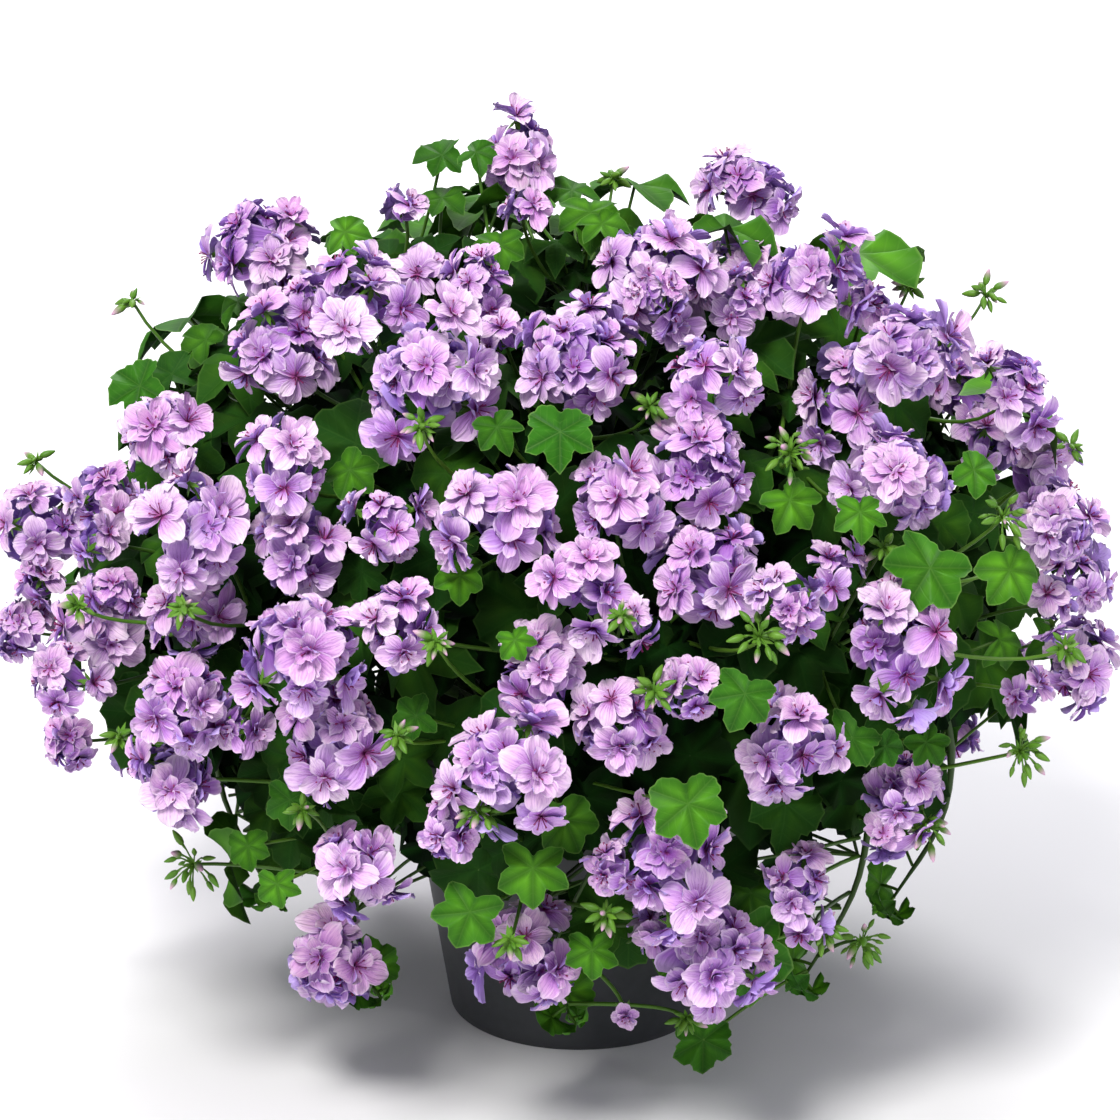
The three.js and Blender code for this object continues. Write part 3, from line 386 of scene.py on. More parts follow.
def leaf_fits(leaf, plant):
    low = leaf.point[2] - leaf.radius * math.sqrt(1 - leaf.normal[2] ** 2)
    if low < 4:
        return False
    if low < POT["height"] + 8 and math.hypot(leaf.point[0], leaf.point[1]) < POT["rim"] + leaf.radius + 8:
        return False
    if np.any(disc_distances(plant.ball_points, leaf) <= LEAF["tuck"] * plant.ball_radii):
        return False
    root_away = np.linalg.norm(plant.ball_points - leaf.stalk[0], axis=1)
    if np.any(root_away <= 0.9 * plant.ball_radii + 2):
        return False
    if not all(leaves_apart(leaf, other) for other in plant.leaves):
        return False
    if any(pierced(leaf.stalk[:1], leaf.stalk[1:2], other) for other in plant.leaves):
        return False
    return not pierced(plant.piece_starts, plant.piece_ends, leaf)


def add_stalk(plant, stalk):
    plant.piece_starts = np.vstack([plant.piece_starts, stalk[:-1]])
    plant.piece_ends = np.vstack([plant.piece_ends, stalk[1:]])


def try_leaf(point, radius, normal, down, plant):
    known_roots = list(plant.roots)
    stalk = stalk_for(point, normal, LEAF["stalk"], plant, 1)
    leaf = SimpleNamespace(point=point, radius=radius, normal=normal, down=down, stalk=stalk)
    if not leaf_fits(leaf, plant):
        plant.roots = known_roots
        return False
    plant.leaves.append(leaf)
    add_stalk(plant, stalk)
    return True


def add_seen_leaves(plant):
    for px, py, size, out, turned in SEEN_LEAVES:
        turn = math.radians(turned)
        for step in range(7):
            point, scale = seen_at(px, py, out + 0.03 * step)
            normal = mix((0.35, outward(point)), (0.65, TO_VIEWER), (0.3, UP))
            if try_leaf(point, size * scale, normal, vec(math.sin(turn), 0, -math.cos(turn)), plant):
                break


def add_inner_leaves(plant):
    draw = draws(3)
    for k in range(4000):
        if len(plant.leaves) == LEAF["count"]:
            break
        way = even_direction(k)
        point = on_mound(way, LEAF["layers"][k % len(LEAF["layers"])])
        radius = LEAF["least"] + (LEAF["most"] - LEAF["least"]) * next(draw)
        stray = stray_of(draw)
        normal = mix((0.7, outward(point)), (0.5, UP), (0.5, stray))
        down = mix((1, outward(point)), (-0.8, UP), (0.6, vec(next(draw) - 0.5, next(draw) - 0.5, 0)))
        if way[2] > -0.9 and (way[1] > -0.1 or k % 3 == 0):
            try_leaf(point, radius, normal, down, plant)


# Small heads between the leaves of the back: how many, how large, how far behind and how low they reach,
# how far out, and how far from other heads.
SMALL_BACK = {
    "heads": 6, "least": 22, "most": 28, "behind": 0.3, "low": -0.55, "out": 0.98, "apart": 1.12,
}


def add_small_back_heads(plant):
    """Small heads in the gaps between the heads and the solids' leaves of the back."""
    draw = draws(8)
    made = []
    for k in range(900):
        if len(made) == SMALL_BACK["heads"]:
            break
        way = even_direction(5 * k + 2)
        radius = SMALL_BACK["least"] + (SMALL_BACK["most"] - SMALL_BACK["least"]) * next(draw)
        point = on_mound(way, SMALL_BACK["out"] + 0.04 * next(draw))
        if -float(way @ TO_VIEWER) < SMALL_BACK["behind"] or way[2] < SMALL_BACK["low"]:
            continue
        others = plant.heads + made
        if any(math.dist(h.point, point) <= SMALL_BACK["apart"] * (h.radius + radius) for h in others):
            continue
        in_leaf = any(disc_distances(point[None], leaf)[0] <= 0.8 * radius for leaf in plant.leaves)
        if in_leaf or not inside_outline(*pixel_of(point)):
            continue
        head = head_at(point, radius, mix((0.75, outward(point)), (0.35, UP)), 0)
        head.stalk = stalk_for(head.base, head.facing, STALK["least"], plant, 2)
        plant.roots.pop()
        made.append(head)
    plant.small_back_heads = made
    plant.ball_points = np.vstack([plant.ball_points] + [head.point for head in made])
    plant.ball_radii = np.append(plant.ball_radii, [head.radius for head in made])


# Leaves that fill the mound between those of the solids: how many, how large, and how near to one another.
# In front they stay deeper than the heads, where their green, darkened with depth as painted shade, reads as
# the dark inside.
FILL = {
    "count": 760, "least": 20, "most": 35, "tries": 22000,
    "near": 0.3, "deep": 0.5, "front": 0.88, "back": 0.99,
}


def pixel_of(point):
    """Where a place shows in the picture."""
    away = point - (VIEW["aim"] + VIEW["distance"] * TO_VIEWER)
    depth = -float(away @ TO_VIEWER)
    up = away[1] * math.sin(TILT) + away[2] * math.cos(TILT)
    share = VIEW["distance"] / depth / VIEW["mm_per_pixel"]
    return VIEW["middle_pixel"] + away[0] * share, VIEW["middle_pixel"] - up * share


def inside_outline(px, py):
    inside = False
    for (x, y), (nx, ny) in zip(OUTLINE, OUTLINE[1:] + OUTLINE[:1]):
        if (y > py) != (ny > py) and px < x + (py - y) / (ny - y) * (nx - x):
            inside = not inside
    return inside


def within_picture(leaf):
    """Whether a leaf stays inside the plant's outline as the picture shows it."""
    along, across = frame_for(leaf.normal, leaf.down)
    rim = (0.85 * leaf.radius * (math.cos(a) * along + math.sin(a) * across) for a in np.arange(6) * TURN / 6)
    return all(inside_outline(*pixel_of(leaf.point + off)) for off in rim)


def add_filling_leaves(plant):
    """Smaller leaves at every depth of the mound, clear of the heads and of each other's middles."""
    draw = draws(29)
    goal = len(plant.leaves) + FILL["count"]
    for k in range(FILL["tries"]):
        if len(plant.leaves) == goal:
            break
        way = even_direction(3 * k + 1)
        widest = FILL["front"] if way[1] < 0.1 and way[2] > -0.75 else FILL["back"]
        out = FILL["deep"] + (widest - FILL["deep"]) * math.sqrt(next(draw))
        point = on_mound(way, out)
        radius = FILL["least"] + (FILL["most"] - FILL["least"]) * next(draw)
        stray = stray_of(draw)
        face = (0.5, TO_VIEWER) if way[1] < 0 else (0.2, UP)
        normal = mix((0.6, outward(point)), (0.45, UP), (0.9, stray), face)
        down = mix((1, outward(point)), (-0.8, UP), (0.8, vec(next(draw) - 0.5, next(draw) - 0.5, 0)))
        low = point[2] - radius * math.sqrt(1 - normal[2] ** 2)
        if low < 4 or (low < POT["height"] + 5 and math.hypot(point[0], point[1]) < POT["rim"] + radius + 5):
            continue
        leaf = SimpleNamespace(point=point, radius=radius, normal=normal, down=down)
        inside_head = np.any(disc_distances(plant.ball_points, leaf) <= 0.8 * plant.ball_radii)
        if inside_head or not within_picture(leaf):
            continue
        others = plant.leaves
        if any(math.dist(point, other.point) < FILL["near"] * (radius + other.radius) for other in others):
            continue
        leaf.stalk = stalk_for(point, normal, LEAF["stalk"], plant, 1)
        plant.roots.pop()
        plant.leaves.append(leaf)


def add_more_leaves(plant):
    for px, py, size, out, turned in MORE_LEAVES:
        turn = math.radians(turned)
        point, scale = seen_at(px, py, out)
        normal = mix((0.5, outward(point)), (0.4, TO_VIEWER), (0.3, UP))
        down = vec(math.sin(turn), 0, -math.cos(turn))
        leaf = SimpleNamespace(point=point, radius=size * scale, normal=normal, down=down)
        leaf.stalk = stalk_for(point, normal, LEAF["stalk"], plant, 1)
        plant.leaves.append(leaf)


def cluster_at(row, plant):
    px, py, size, out = row
    point, scale = seen_at(px, py, out)
    facing = mix((0.6, outward(point)), (0.3, TO_VIEWER), (0.4, UP))
    stalk = stalk_for(point, facing, STALK["least"], plant, 2)
    return SimpleNamespace(point=point, radius=size * scale, facing=facing, stalk=stalk)


def lay_out():
    stems = [crown_branches()] + [leafy_branches(i) for i in range(SECTORS)]
    plant = SimpleNamespace(stems=stems, stations=[stations_of(s) for s in stems], leaves=[], roots=[])
    plant.heads = place_seen_heads()
    add_back_heads(plant.heads)
    plant.head_points = np.array([head.point for head in plant.heads])
    plant.head_radii = np.array([head.radius for head in plant.heads])
    for head in plant.heads:
        head.stalk = stalk_for(head.base, head.facing, STALK["least"], plant, 2)
    plant.buds = [cluster_at(row, plant) for row in SEEN_BUDS]
    balls = plant.heads + plant.buds
    plant.ball_points = np.array([ball.point for ball in balls])
    plant.ball_radii = np.array([ball.radius for ball in balls])
    plant.piece_starts, plant.piece_ends = np.zeros((0, 3)), np.zeros((0, 3))
    for branches in stems:
        for branch in branches:
            add_stalk(plant, np.array(branch))
    for ball in balls:
        add_stalk(plant, ball.stalk)
    add_seen_leaves(plant)
    add_inner_leaves(plant)
    add_small_back_heads(plant)
    add_filling_leaves(plant)
    add_more_leaves(plant)
    plant.buds += [cluster_at(row, plant) for row in MORE_BUDS]
    return plant


# Gathering of many small blades into one mesh.


def place_object(name, data):
    thing = bpy.data.objects.new(name, data)
    bpy.context.scene.collection.objects.link(thing)
    return thing


class Sheaf:
    """Blades gathered for one piece. Each point carries a place on its blade and a tone of three shares."""

    def __init__(self):
        self.points, self.places, self.tones, self.quads, self.triangles = [], [], [], [], []
        self.count = 0

    def add(self, points, faces, places, tone):
        tone = np.broadcast_to(np.asarray(tone, float), (len(points), 3))
        self.points.append(points)
        self.places.append(places)
        self.tones.append(tone)
        for group in faces:
            (self.quads if group.shape[1] == 4 else self.triangles).append(group + self.count)
        self.count += len(points)

    def build(self, name, material, slot, nodes):
        """The mesh object, in metres, with its map and tone."""
        points = np.vstack(self.points) * MM
        quads = np.vstack(self.quads) if self.quads else np.zeros((0, 4), int)
        triangles = np.vstack(self.triangles) if self.triangles else np.zeros((0, 3), int)
        corners = np.concatenate([quads.ravel(), triangles.ravel()])
        sizes = np.concatenate([np.full(len(quads), 4), np.full(len(triangles), 3)])
        starts = np.concatenate([[0], np.cumsum(sizes)[:-1]])
        mesh = bpy.data.meshes.new(name)
        mesh.vertices.add(len(points))
        mesh.vertices.foreach_set("co", points.ravel())
        mesh.loops.add(len(corners))
        mesh.loops.foreach_set("vertex_index", corners.astype(np.int32))
        mesh.polygons.add(len(sizes))
        mesh.polygons.foreach_set("loop_start", starts.astype(np.int32))
        mesh.polygons.foreach_set("use_smooth", np.ones(len(sizes), bool))
        mesh.update(calc_edges=True)
        places = np.vstack(self.places)[corners]
        mesh.uv_layers.new(name="blade").data.foreach_set("uv", places.ravel())
        tone = mesh.color_attributes.new("tone", "FLOAT_COLOR", "POINT")
        tones = np.hstack([np.vstack(self.tones), np.ones((len(points), 1))])
        tone.data.foreach_set("color", tones.ravel())
        mesh.validate()
        mesh.materials.append(material)
        piece = place_object(name, mesh)
        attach(piece, "root")
        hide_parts(*nodes)
        return piece


def grid_faces(across, along):
    i, j = np.meshgrid(np.arange(across), np.arange(along))
    first = (j * (across + 1) + i).ravel()
    return [np.stack([first, first + 1, first + across + 2, first + across + 1], axis=1)]


def tube_faces(rings, sides):
    i, s = np.meshgrid(np.arange(rings - 1), np.arange(sides), indexing="ij")
    a, b = (i * sides + s).ravel(), (i * sides + (s + 1) % sides).ravel()
    return [np.stack([a, b, b + sides, a + sides], axis=1)]


def closed_faces(rings, sides):
    """The faces of a stack of rings that has one point before its first ring and one after its last."""
    near = np.arange(sides)
    turned = (near + 1) % sides
    last_ring = 1 + (rings - 1) * sides
    first_cap = np.stack([np.zeros(sides, int), 1 + turned, 1 + near], axis=1)
    last_cap = np.stack([np.full(sides, 1 + rings * sides), last_ring + near, last_ring + turned], axis=1)
    return [group + 1 for group in tube_faces(rings, sides)] + [first_cap, last_cap]


def ring_at(radius, z, sides):
    """A level ring of points round the pot's axis."""
    angles = TURN * np.arange(sides) / sides
    return np.stack([radius * np.cos(angles), radius * np.sin(angles), np.full(sides, float(z))], axis=1)


def smooth_row(row, steps):
    """A smooth line through a row of points."""
    row = np.asarray(row)
    before = np.vstack([2 * row[0] - row[1], row[:-1]])
    after = np.vstack([row[1:], 2 * row[-1] - row[-2]])
    slope = (after - before) / 2
    t = np.linspace(0, 1, steps, endpoint=False)[:, None]
    parts = []
    for a, b, da, db in zip(row[:-1], row[1:], slope[:-1], slope[1:]):
        h = 2 * t**3 - 3 * t**2
        parts.append((1 + h) * a - h * b + (t**3 - 2 * t**2 + t) * da + (t**3 - t**2) * db)
    return np.vstack(parts + [row[-1:]])


def arc_row(start, bend, end, steps):
    t = np.linspace(0, 1, steps + 1)[:, None]
    return (1 - t) ** 2 * start + 2 * t * (1 - t) * bend + t**2 * end


def add_tube(sheaf, row, radii, sides, tone):
    """A round stem along a row of points, closed by a point at each end."""
    row = np.asarray(row)
    radii = np.broadcast_to(np.asarray(radii, float), (len(row),))
    ways = np.gradient(row, axis=0)
    ways /= np.linalg.norm(ways, axis=1)[:, None]
    along = frame_for(ways[0], STEM["hint"])[0]
    angles = TURN * np.arange(sides) / sides
    points = [row[:1]]
    for point, way, radius in zip(row, ways, radii):
        along = unit(along - way * float(along @ way))
        across = np.cross(way, along)
        ring = np.cos(angles)[:, None] * along + np.sin(angles)[:, None] * across
        points.append(point + radius * ring)
    points.append(row[-1:])
    share = np.concatenate([[0], np.repeat(np.linspace(0, 1, len(row)), sides), [1]])
    round_it = np.concatenate([[0], np.tile(np.arange(sides) / sides, len(row)), [0]])
    places = np.stack([round_it, share], axis=1)
    sheaf.add(np.vstack(points), closed_faces(len(row), sides), places, tone)


# Shapes of the blades.


def turn_matrix(yaw, pitch, roll):
    """Turns a blade that grows along +Y: roll about its length, then pitch up, then yaw round the flower."""
    cy, sy, cp, sp, cr, sr = *cs(yaw), *cs(pitch), *cs(roll)
    rolled = np.array([[cr, 0, sr], [0, 1, 0], [-sr, 0, cr]])
    pitched = np.array([[1, 0, 0], [0, cp, -sp], [0, sp, cp]])
    yawed = np.array([[cy, -sy, 0], [sy, cy, 0], [0, 0, 1]])
    return yawed @ pitched @ rolled


def cs(angle):
    return math.cos(angle), math.sin(angle)


def petal(across, along, width, curl, cup, ruffle, twist, phase, notch):
    """A petal of length 1 along +Y with its face up: narrow claw, round tip, wavy edge, middle fold."""
    rows = np.sin(np.pi / 2 * np.linspace(0, 1, along + 1) ** 0.85)
    v, u = np.meshgrid(rows, np.linspace(-1, 1, across + 1), indexing="ij")
    widens = 0.13 + 0.87 * np.sin(np.pi / 2 * np.minimum(v / 0.68, 1)) ** 1.4
    spread = widens * np.sqrt(1 - (np.maximum(v - 0.68, 0) / 0.36) ** 2)
    x = width / 2 * spread * u
    y = v - 0.1 * u**2 * v**4 - notch * np.exp(-((u / 0.3) ** 2)) * v**8
    z = 0.1 * v - curl * v**2 + cup * u**2 * widens - 0.05 * np.exp(-((u / 0.25) ** 2)) * v
    z = z + ruffle * (np.sin(2.6 * np.pi * u + phase) * v**2 + np.sin(6 * v + 2 * phase) * u**2)
    z = z + twist * u * v
    places = np.stack([u.ravel() / 2 + 0.5, v.ravel()], axis=1)
    return np.stack([x.ravel(), y.ravel(), z.ravel()], axis=1), grid_faces(across, along), places


def petal_variants(seed, count, across, along, width, curl, cup, ruffle):
    draw = draws(seed)
    shapes = []
    for _ in range(count):
        wide = width * (0.85 + 0.3 * next(draw))
        bend = curl * (0.1 + 1.8 * next(draw))
        bowl = cup * (0.2 + 1.6 * next(draw))
        waves = ruffle * (0.5 + next(draw))
        turned, phase = 0.3 * (next(draw) - 0.5), TURN * next(draw)
        shapes.append(petal(across, along, wide, bend, bowl, waves, turned, phase, 0.12 * next(draw)))
    return shapes


OUTER_PETALS = petal_variants(11, 14, across=6, along=6, width=0.8, curl=0.26, cup=0.08, ruffle=0.042)
INNER_PETALS = petal_variants(12, 14, across=4, along=5, width=0.64, curl=0.3, cup=0.16, ruffle=0.05)


def sepal():
    v = np.array([0, 0, 0.5, 0.5, 1.0])
    x = np.array([-0.1, 0.1, -0.17, 0.17, 0])
    points = np.stack([x, v, 0.15 * v**2], axis=1)
    faces = [np.array([[0, 1, 3, 2]]), np.array([[2, 3, 4]])]
    return points, faces, np.stack([x + 0.5, v], axis=1)


SEPAL = sepal()

# A floret's radius: usual, least, and as a share of a small head's; how many fill a head, and at most; and
# its sepals' length and its stamens.
FLORET = {"radius": 19, "least": 14, "share": 0.64, "fill": 2.9, "most": 14, "sepal": 9, "stamens": 5}


def add_floret(petals, greens, place, way, radius, foot, draw, hue_and_painted_shade, heart, reach_out):
    """A double floret: an outer whorl, two inner whorls, stamens, sepals, and its pedicel."""
    along, across = frame_for(way, stray_of(draw))
    own = np.stack([along, across, way])
    shut, pale, full = 0.45 * next(draw) ** 2, next(draw), next(draw) > 0.25
    whorls = [
        (5 + int(2 * next(draw)), OUTER_PETALS, 1.02, 0.05 + shut, 0.45, 0.0),
        (5 if full else 2, INNER_PETALS, 0.78, 0.4 + shut, 0.6, 0.06),
        (3 if full else 0, INNER_PETALS, 0.5, 0.85, 0.7, 0.1),
    ]
    spin = TURN * next(draw)
    for count, shapes, reach, pitch, stray, rise in whorls:
        for i in range(count):
            points, faces, places = shapes[int(next(draw) * len(shapes))]
            yaw = spin + TURN * (i + 0.35 * (next(draw) - 0.5)) / count
            turned = turn_matrix(yaw, pitch + stray * (next(draw) - 0.4), 0.16 + 0.3 * (next(draw) - 0.5))
            size = radius * reach * (0.8 + 0.32 * next(draw))
            world = (points @ turned.T * size) @ own + place + way * (rise * radius)
            # Painted shade: how deep a petal point lies inside its head, to darken it violet.
            painted_sunk_shade = 0.5 * np.clip((0.95 - np.linalg.norm(world - heart, axis=1) / reach_out) / 0.5, 0, 1)
            # Hue with the painted shade of florets turned down in their head, and a random share.
            tint = np.full(len(world), hue_and_painted_shade + 0.2 * (next(draw) - 0.5))
            light = np.full(len(world), 0.65 * pale + 0.35 * next(draw))
            petals.add(world, faces, places, np.stack([tint, light, painted_sunk_shade], axis=1))
        spin += 0.6
    for i in range(FLORET["stamens"]):
        turn = 1.3 * i + spin
        lean = mix((1, way), (0.6 * math.cos(turn), along), (0.6 * math.sin(turn), across))
        tip = place + lean * radius * (0.3 + 0.12 * next(draw))
        add_tube(petals, [place, tip, tip + lean * 1.4], [0.35, 0.35, 0.7], 3, (0.5, 0.5, 1))
    points, faces, places = SEPAL
    for i in range(5):
        turned = turn_matrix(TURN * i / 5 + spin, -0.75, 0)
        world = (points @ turned.T * FLORET["sepal"]) @ own + place - way * 1.5
        greens.add(world, faces, places, (0.7, next(draw), 0))
    bend = place - way * 0.45 * length_of(place - foot)
    row = arc_row(foot, bend, place - way, 4)
    add_tube(greens, row, [0.7, 0.7, 0.8, 1.0, 1.7], 4, (0.55, next(draw), 0))


def cap_directions(count, widest, facing, draw):
    """Even directions over a cap round a facing."""
    along, across = frame_for(facing, vec(next(draw) - 0.5, next(draw) - 0.5, 0.3))
    turn = TURN * next(draw)
    low = math.cos(widest)
    for i in range(count):
        z = 1 - (i + 0.5) / count * (1 - low)
        flat = math.sqrt(1 - z * z)
        angle = turn + i * math.pi * (3 - math.sqrt(5))
        yield unit(z * facing + flat * math.cos(angle) * along + flat * math.sin(angle) * across)


# Violet petals deep inside a head, as painted shade: how many, how far out, and how large, as shares of its
# radius.
PAINTED_SHADE_CORE = {"count": 9, "out": 0.4, "size": 0.85}

# How far round from a head's facing its florets, its inner petals of painted violet shade and a cluster's
# buds reach.
CAP = {"florets": math.radians(112), "core": math.radians(125), "buds": math.radians(105)}


def add_painted_shade_core(petals, head, draw):
    """Petals like the florets' undersides, deep inside a head and coloured deep violet: painted shade of the
    head's inside.
    """
    for way in cap_directions(PAINTED_SHADE_CORE["count"], CAP["core"], head.facing, draw):
        points, faces, places = INNER_PETALS[int(next(draw) * len(INNER_PETALS))]
        along, across = frame_for(way, stray_of(draw))
        own = np.stack([along, across, way])
        centred = (points - vec(0, 0.5, 0)) * PAINTED_SHADE_CORE["size"] * head.radius
        place = head.point + way * PAINTED_SHADE_CORE["out"] * head.radius
        tone = (0.6, 0.2 * next(draw), 0.4 + 0.1 * next(draw))
        petals.add(centred @ own + place, faces, places * (1, 0.5) + (0, 0.5), tone)


def add_head(petals, greens, head, draw):
    """A rounded head of florets on pedicels that leave the end of its stalk."""
    radius = head.radius
    floret_radius = min(FLORET["radius"], max(FLORET["least"], FLORET["share"] * radius))
    count = max(1, min(FLORET["most"], round(FLORET["fill"] * (radius / floret_radius) ** 2)))
    foot = head.point - head.facing * (0.35 * radius)
    longer = mix((1, stray_of(draw)), (-0.2, UP)) * (0.1 + 0.18 * next(draw))
    if count == 1:
        heart = head.point - head.facing * radius
        add_floret(petals, greens, head.point, head.facing, radius, foot, draw, 0.35, heart, radius)
    else:
        for way in cap_directions(count, CAP["florets"], head.facing, draw):
            stray = stray_of(draw)
            spread = mix((1, way), (0.7, stray)) + longer * float(longer @ way) / 0.15
            place = head.point + spread * radius * (0.38 + 0.48 * next(draw))
            look = mix((1, way), (0.3, head.facing), (0.7, stray_of(draw)))
            # Bluer on florets turned down and aside in their head: painted shade, with a random share of the
            # flowers' own hue.
            tint_and_painted_shade = 0.34 - 0.45 * float(way @ UP) - 0.1 * float(way @ head.facing) + 0.3 * (next(draw) - 0.5)
            size = floret_radius * (0.86 + 0.28 * next(draw))
            add_floret(petals, greens, place, look, size, foot, draw, tint_and_painted_shade, head.point, radius)
        add_painted_shade_core(petals, head, draw)
    rest = arc_row(head.stalk[0], 2 * head.stalk[1] - (head.stalk[0] + head.stalk[2]) / 2, foot, 8)
    add_tube(greens, rest, np.linspace(1.4, 1.1, 9), 6, (0.15 + 0.4 * next(draw), next(draw), 0))


# The lobes of an ivy leaf: degrees from its middle lobe, reach as a share of its radius.
LOBES = [(0, 1.06), (31, 0.69), (60, 1.03), (92, 0.63), (126, 0.93), (160, 0.54), (180, 0.34)]


def leaf_blade(seed, rounds, shares):
    """A leaf of radius 1 with its middle lobe along +X and its face up, pleated between its veins."""
    draw = draws(seed)
    lean, wave, phase = next(draw) - 0.5, 0.07 + 0.11 * next(draw), TURN * next(draw)
    droop, cut, tooth = 0.08 + 0.3 * next(draw), 0.72 + 0.55 * next(draw), 0.018 + 0.025 * next(draw)
    fold, blunt = 0.45 * next(draw) - 0.1, 1 + 3 * next(draw)
    angle = TURN * np.arange(rounds) / rounds
    turned = np.abs((np.degrees(angle) + 180) % 360 - 180)
    known = np.array(LOBES)
    soft = sum(np.interp(np.abs(turned + off), known[:, 0], known[:, 1]) for off in (-blunt, blunt)) / 2
    edge = 1 - cut * (1 - soft)
    round_lobe = np.interp(turned, (0, 31, 60, 92, 126, 166), (1, -1, 1, -1, 1, -1))
    teeth = tooth * np.cos(np.radians(turned) * 360 / 20.5)
    edge = edge + 0.035 * (1 - round_lobe**2) + teeth + 0.1 * lean * np.sin(angle)
    edge = edge + 0.04 * np.sin(3 * angle + 1.7 * phase) + 0.025 * np.sin(7 * angle + phase)
    points, places, rims = [np.zeros((1, 3))], [np.full((1, 2), 0.5)], [np.zeros(1)]
    for share in shares:
        reach = edge * share
        x, y = reach * np.cos(angle), reach * np.sin(angle)
        height = -droop * reach**2 - 0.17 * share**1.3 * round_lobe
        height = height + wave * np.sin(2 * angle + phase) * share**2
        height = height + 0.4 * wave * np.sin(3 * angle - 2 * phase) * share**3
        points.append(np.stack([x, y, height + fold * np.abs(y) * share], axis=1))
        places.append(np.stack([x / 2.2 + 0.5, y / 2.2 + 0.5], axis=1))
        rims.append(np.full(rounds, share))
    near = np.arange(rounds)
    fan = np.stack([np.zeros(rounds, int), 1 + near, 1 + (near + 1) % rounds], axis=1)
    bands = [group[:, ::-1] + 1 for group in tube_faces(len(shares), rounds)]
    return np.vstack(points), [fan] + bands, np.vstack(places), np.concatenate(rims)


LEAF_BLADES = [leaf_blade(40 + i, rounds=54, shares=(0.25, 0.55, 0.82, 1)) for i in range(12)]
INNER_BLADES = [leaf_blade(60 + i, rounds=36, shares=(0.4, 0.8, 1)) for i in range(12)]


def add_leaf(blades, stems, leaf, index, draw):
    """A leaf blade with its petiole, which meets it near its middle. Leaves of the inside are plainer, and
    darker with depth in the mound: partly older green, partly painted shade.
    """
    shapes = LEAF_BLADES if index < LEAF["count"] else INNER_BLADES
    points, faces, places, rim = shapes[index % len(shapes)]
    along, across = frame_for(leaf.normal, leaf.down)
    own = np.stack([along, across, leaf.normal])
    # Darker deep in the mound, the petiole too: partly older, darker leaves, partly painted shade of the
    # mound's inside.
    depth = length_of((leaf.point - MOUND_MIDDLE) / MOUND_HALF)
    green_tone_and_painted_shade = min(max((depth - 0.76) / 0.24, 0), 1) ** 1.4 * (0.7 + 0.35 * next(draw))
    tone = np.stack([np.full(len(rim), green_tone_and_painted_shade), np.full(len(rim), next(draw)), rim], axis=1)
    blades.add(points * leaf.radius @ own + leaf.point, faces, places, tone)
    start, end = leaf.stalk[0], leaf.point - leaf.normal * 0.6
    bend = (start + end) / 2 - leaf.normal * 0.25 * length_of(end - start)
    tone = (0.15 + 0.45 * green_tone_and_painted_shade, next(draw), 0)
    add_tube(stems, arc_row(start, bend, end, 5), 0.9 * LEAF["petiole"], 5, tone)


# A bud's outline: share of its length, share of its width.
BUD_OUTLINE = [(0, 0.3), (0.12, 0.75), (0.35, 1), (0.62, 0.85), (0.85, 0.5), (1, 0.16)]


def add_bud(sheaf, foot, way, length, width, pink, draw):
    row = [foot + way * length * share for share, _ in BUD_OUTLINE]
    radii = [width / 2 * share for _, share in BUD_OUTLINE]
    add_tube(sheaf, row, radii, 6, (0.75, next(draw), 0))
    share = sheaf.places[-1][:, 1]
    tone = np.array(sheaf.tones[-1])
    tone[:, 2] = pink * np.clip((share - 0.45) / 0.4, 0, 1)
    sheaf.tones[-1] = tone


# A usual cluster's buds, the radius at which it has so many, the share of pink ones, and its bracts.
BUDS = {"count": 11, "length": 10, "width": 4.4, "radius": 11, "pink": 0.3, "bracts": 9}


def add_buds(sheaf, cluster, draw):
    """A cluster of buds on fine pedicels, some of them pink at the tip, with small bracts at its foot."""
    heart = cluster.point - cluster.facing * (0.5 * cluster.radius)
    bend = 2 * cluster.stalk[1] - (cluster.stalk[0] + cluster.stalk[2]) / 2
    tone = (0.2 + 0.5 * next(draw), next(draw), 0)
    add_tube(sheaf, arc_row(cluster.stalk[0], bend, heart, 8), np.linspace(1.4, 1.0, 9), 6, tone)
    reach = max(cluster.radius * 1.45 - BUDS["length"], 4)
    count = round(BUDS["count"] * min(max(cluster.radius / BUDS["radius"], 0.7), 1.3))
    for way in cap_directions(count, CAP["buds"], cluster.facing, draw):
        tip = heart + way * reach * (0.5 + 0.55 * next(draw))
        nod = mix((1, way), (-0.5, UP), (0.5, stray_of(draw)))
        bend = heart + (way + 0.35 * UP) * reach * 0.5
        add_tube(sheaf, arc_row(heart, bend, tip, 3), [0.6, 0.5, 0.5, 0.9], 4, (0.7, 0.5, 0))
        size, pink = 0.55 + 0.6 * next(draw), float(next(draw) < BUDS["pink"])
        add_bud(sheaf, tip, nod, BUDS["length"] * size, BUDS["width"] * size, pink, draw)
    points, faces, places = SEPAL
    own = np.stack([*frame_for(cluster.facing, vec(1, 0, 0.2)), cluster.facing])
    for i in range(BUDS["bracts"]):
        turned = turn_matrix(TURN * i / BUDS["bracts"], 1.2 * next(draw) - 0.5, 0)
        size = 5 + 5 * next(draw)
        sheaf.add((points @ turned.T * size) @ own + heart, faces, places, (0.9, next(draw), 0))


def add_shoot(blades, stems, tip, way, draw):
    """Young leaves at the growing end of a stem."""
    for i in range(4):
        along, across = frame_for(way, STEM["hint"])
        side = mix((math.cos(1.9 * i), along), (math.sin(1.9 * i), across))
        normal = mix((0.8, way), (0.5, side), (0.3, UP))
        point = tip + (way * (3 - 5 * i) + side * (6 + 2 * i))
        radius = 8 + 3.5 * i
        leaf = SimpleNamespace(point=point, radius=radius, normal=normal, down=side)
        leaf.stalk = np.array([tip - way * 6 * i, point])
        add_leaf(blades, stems, leaf, i, draw)


# Materials.


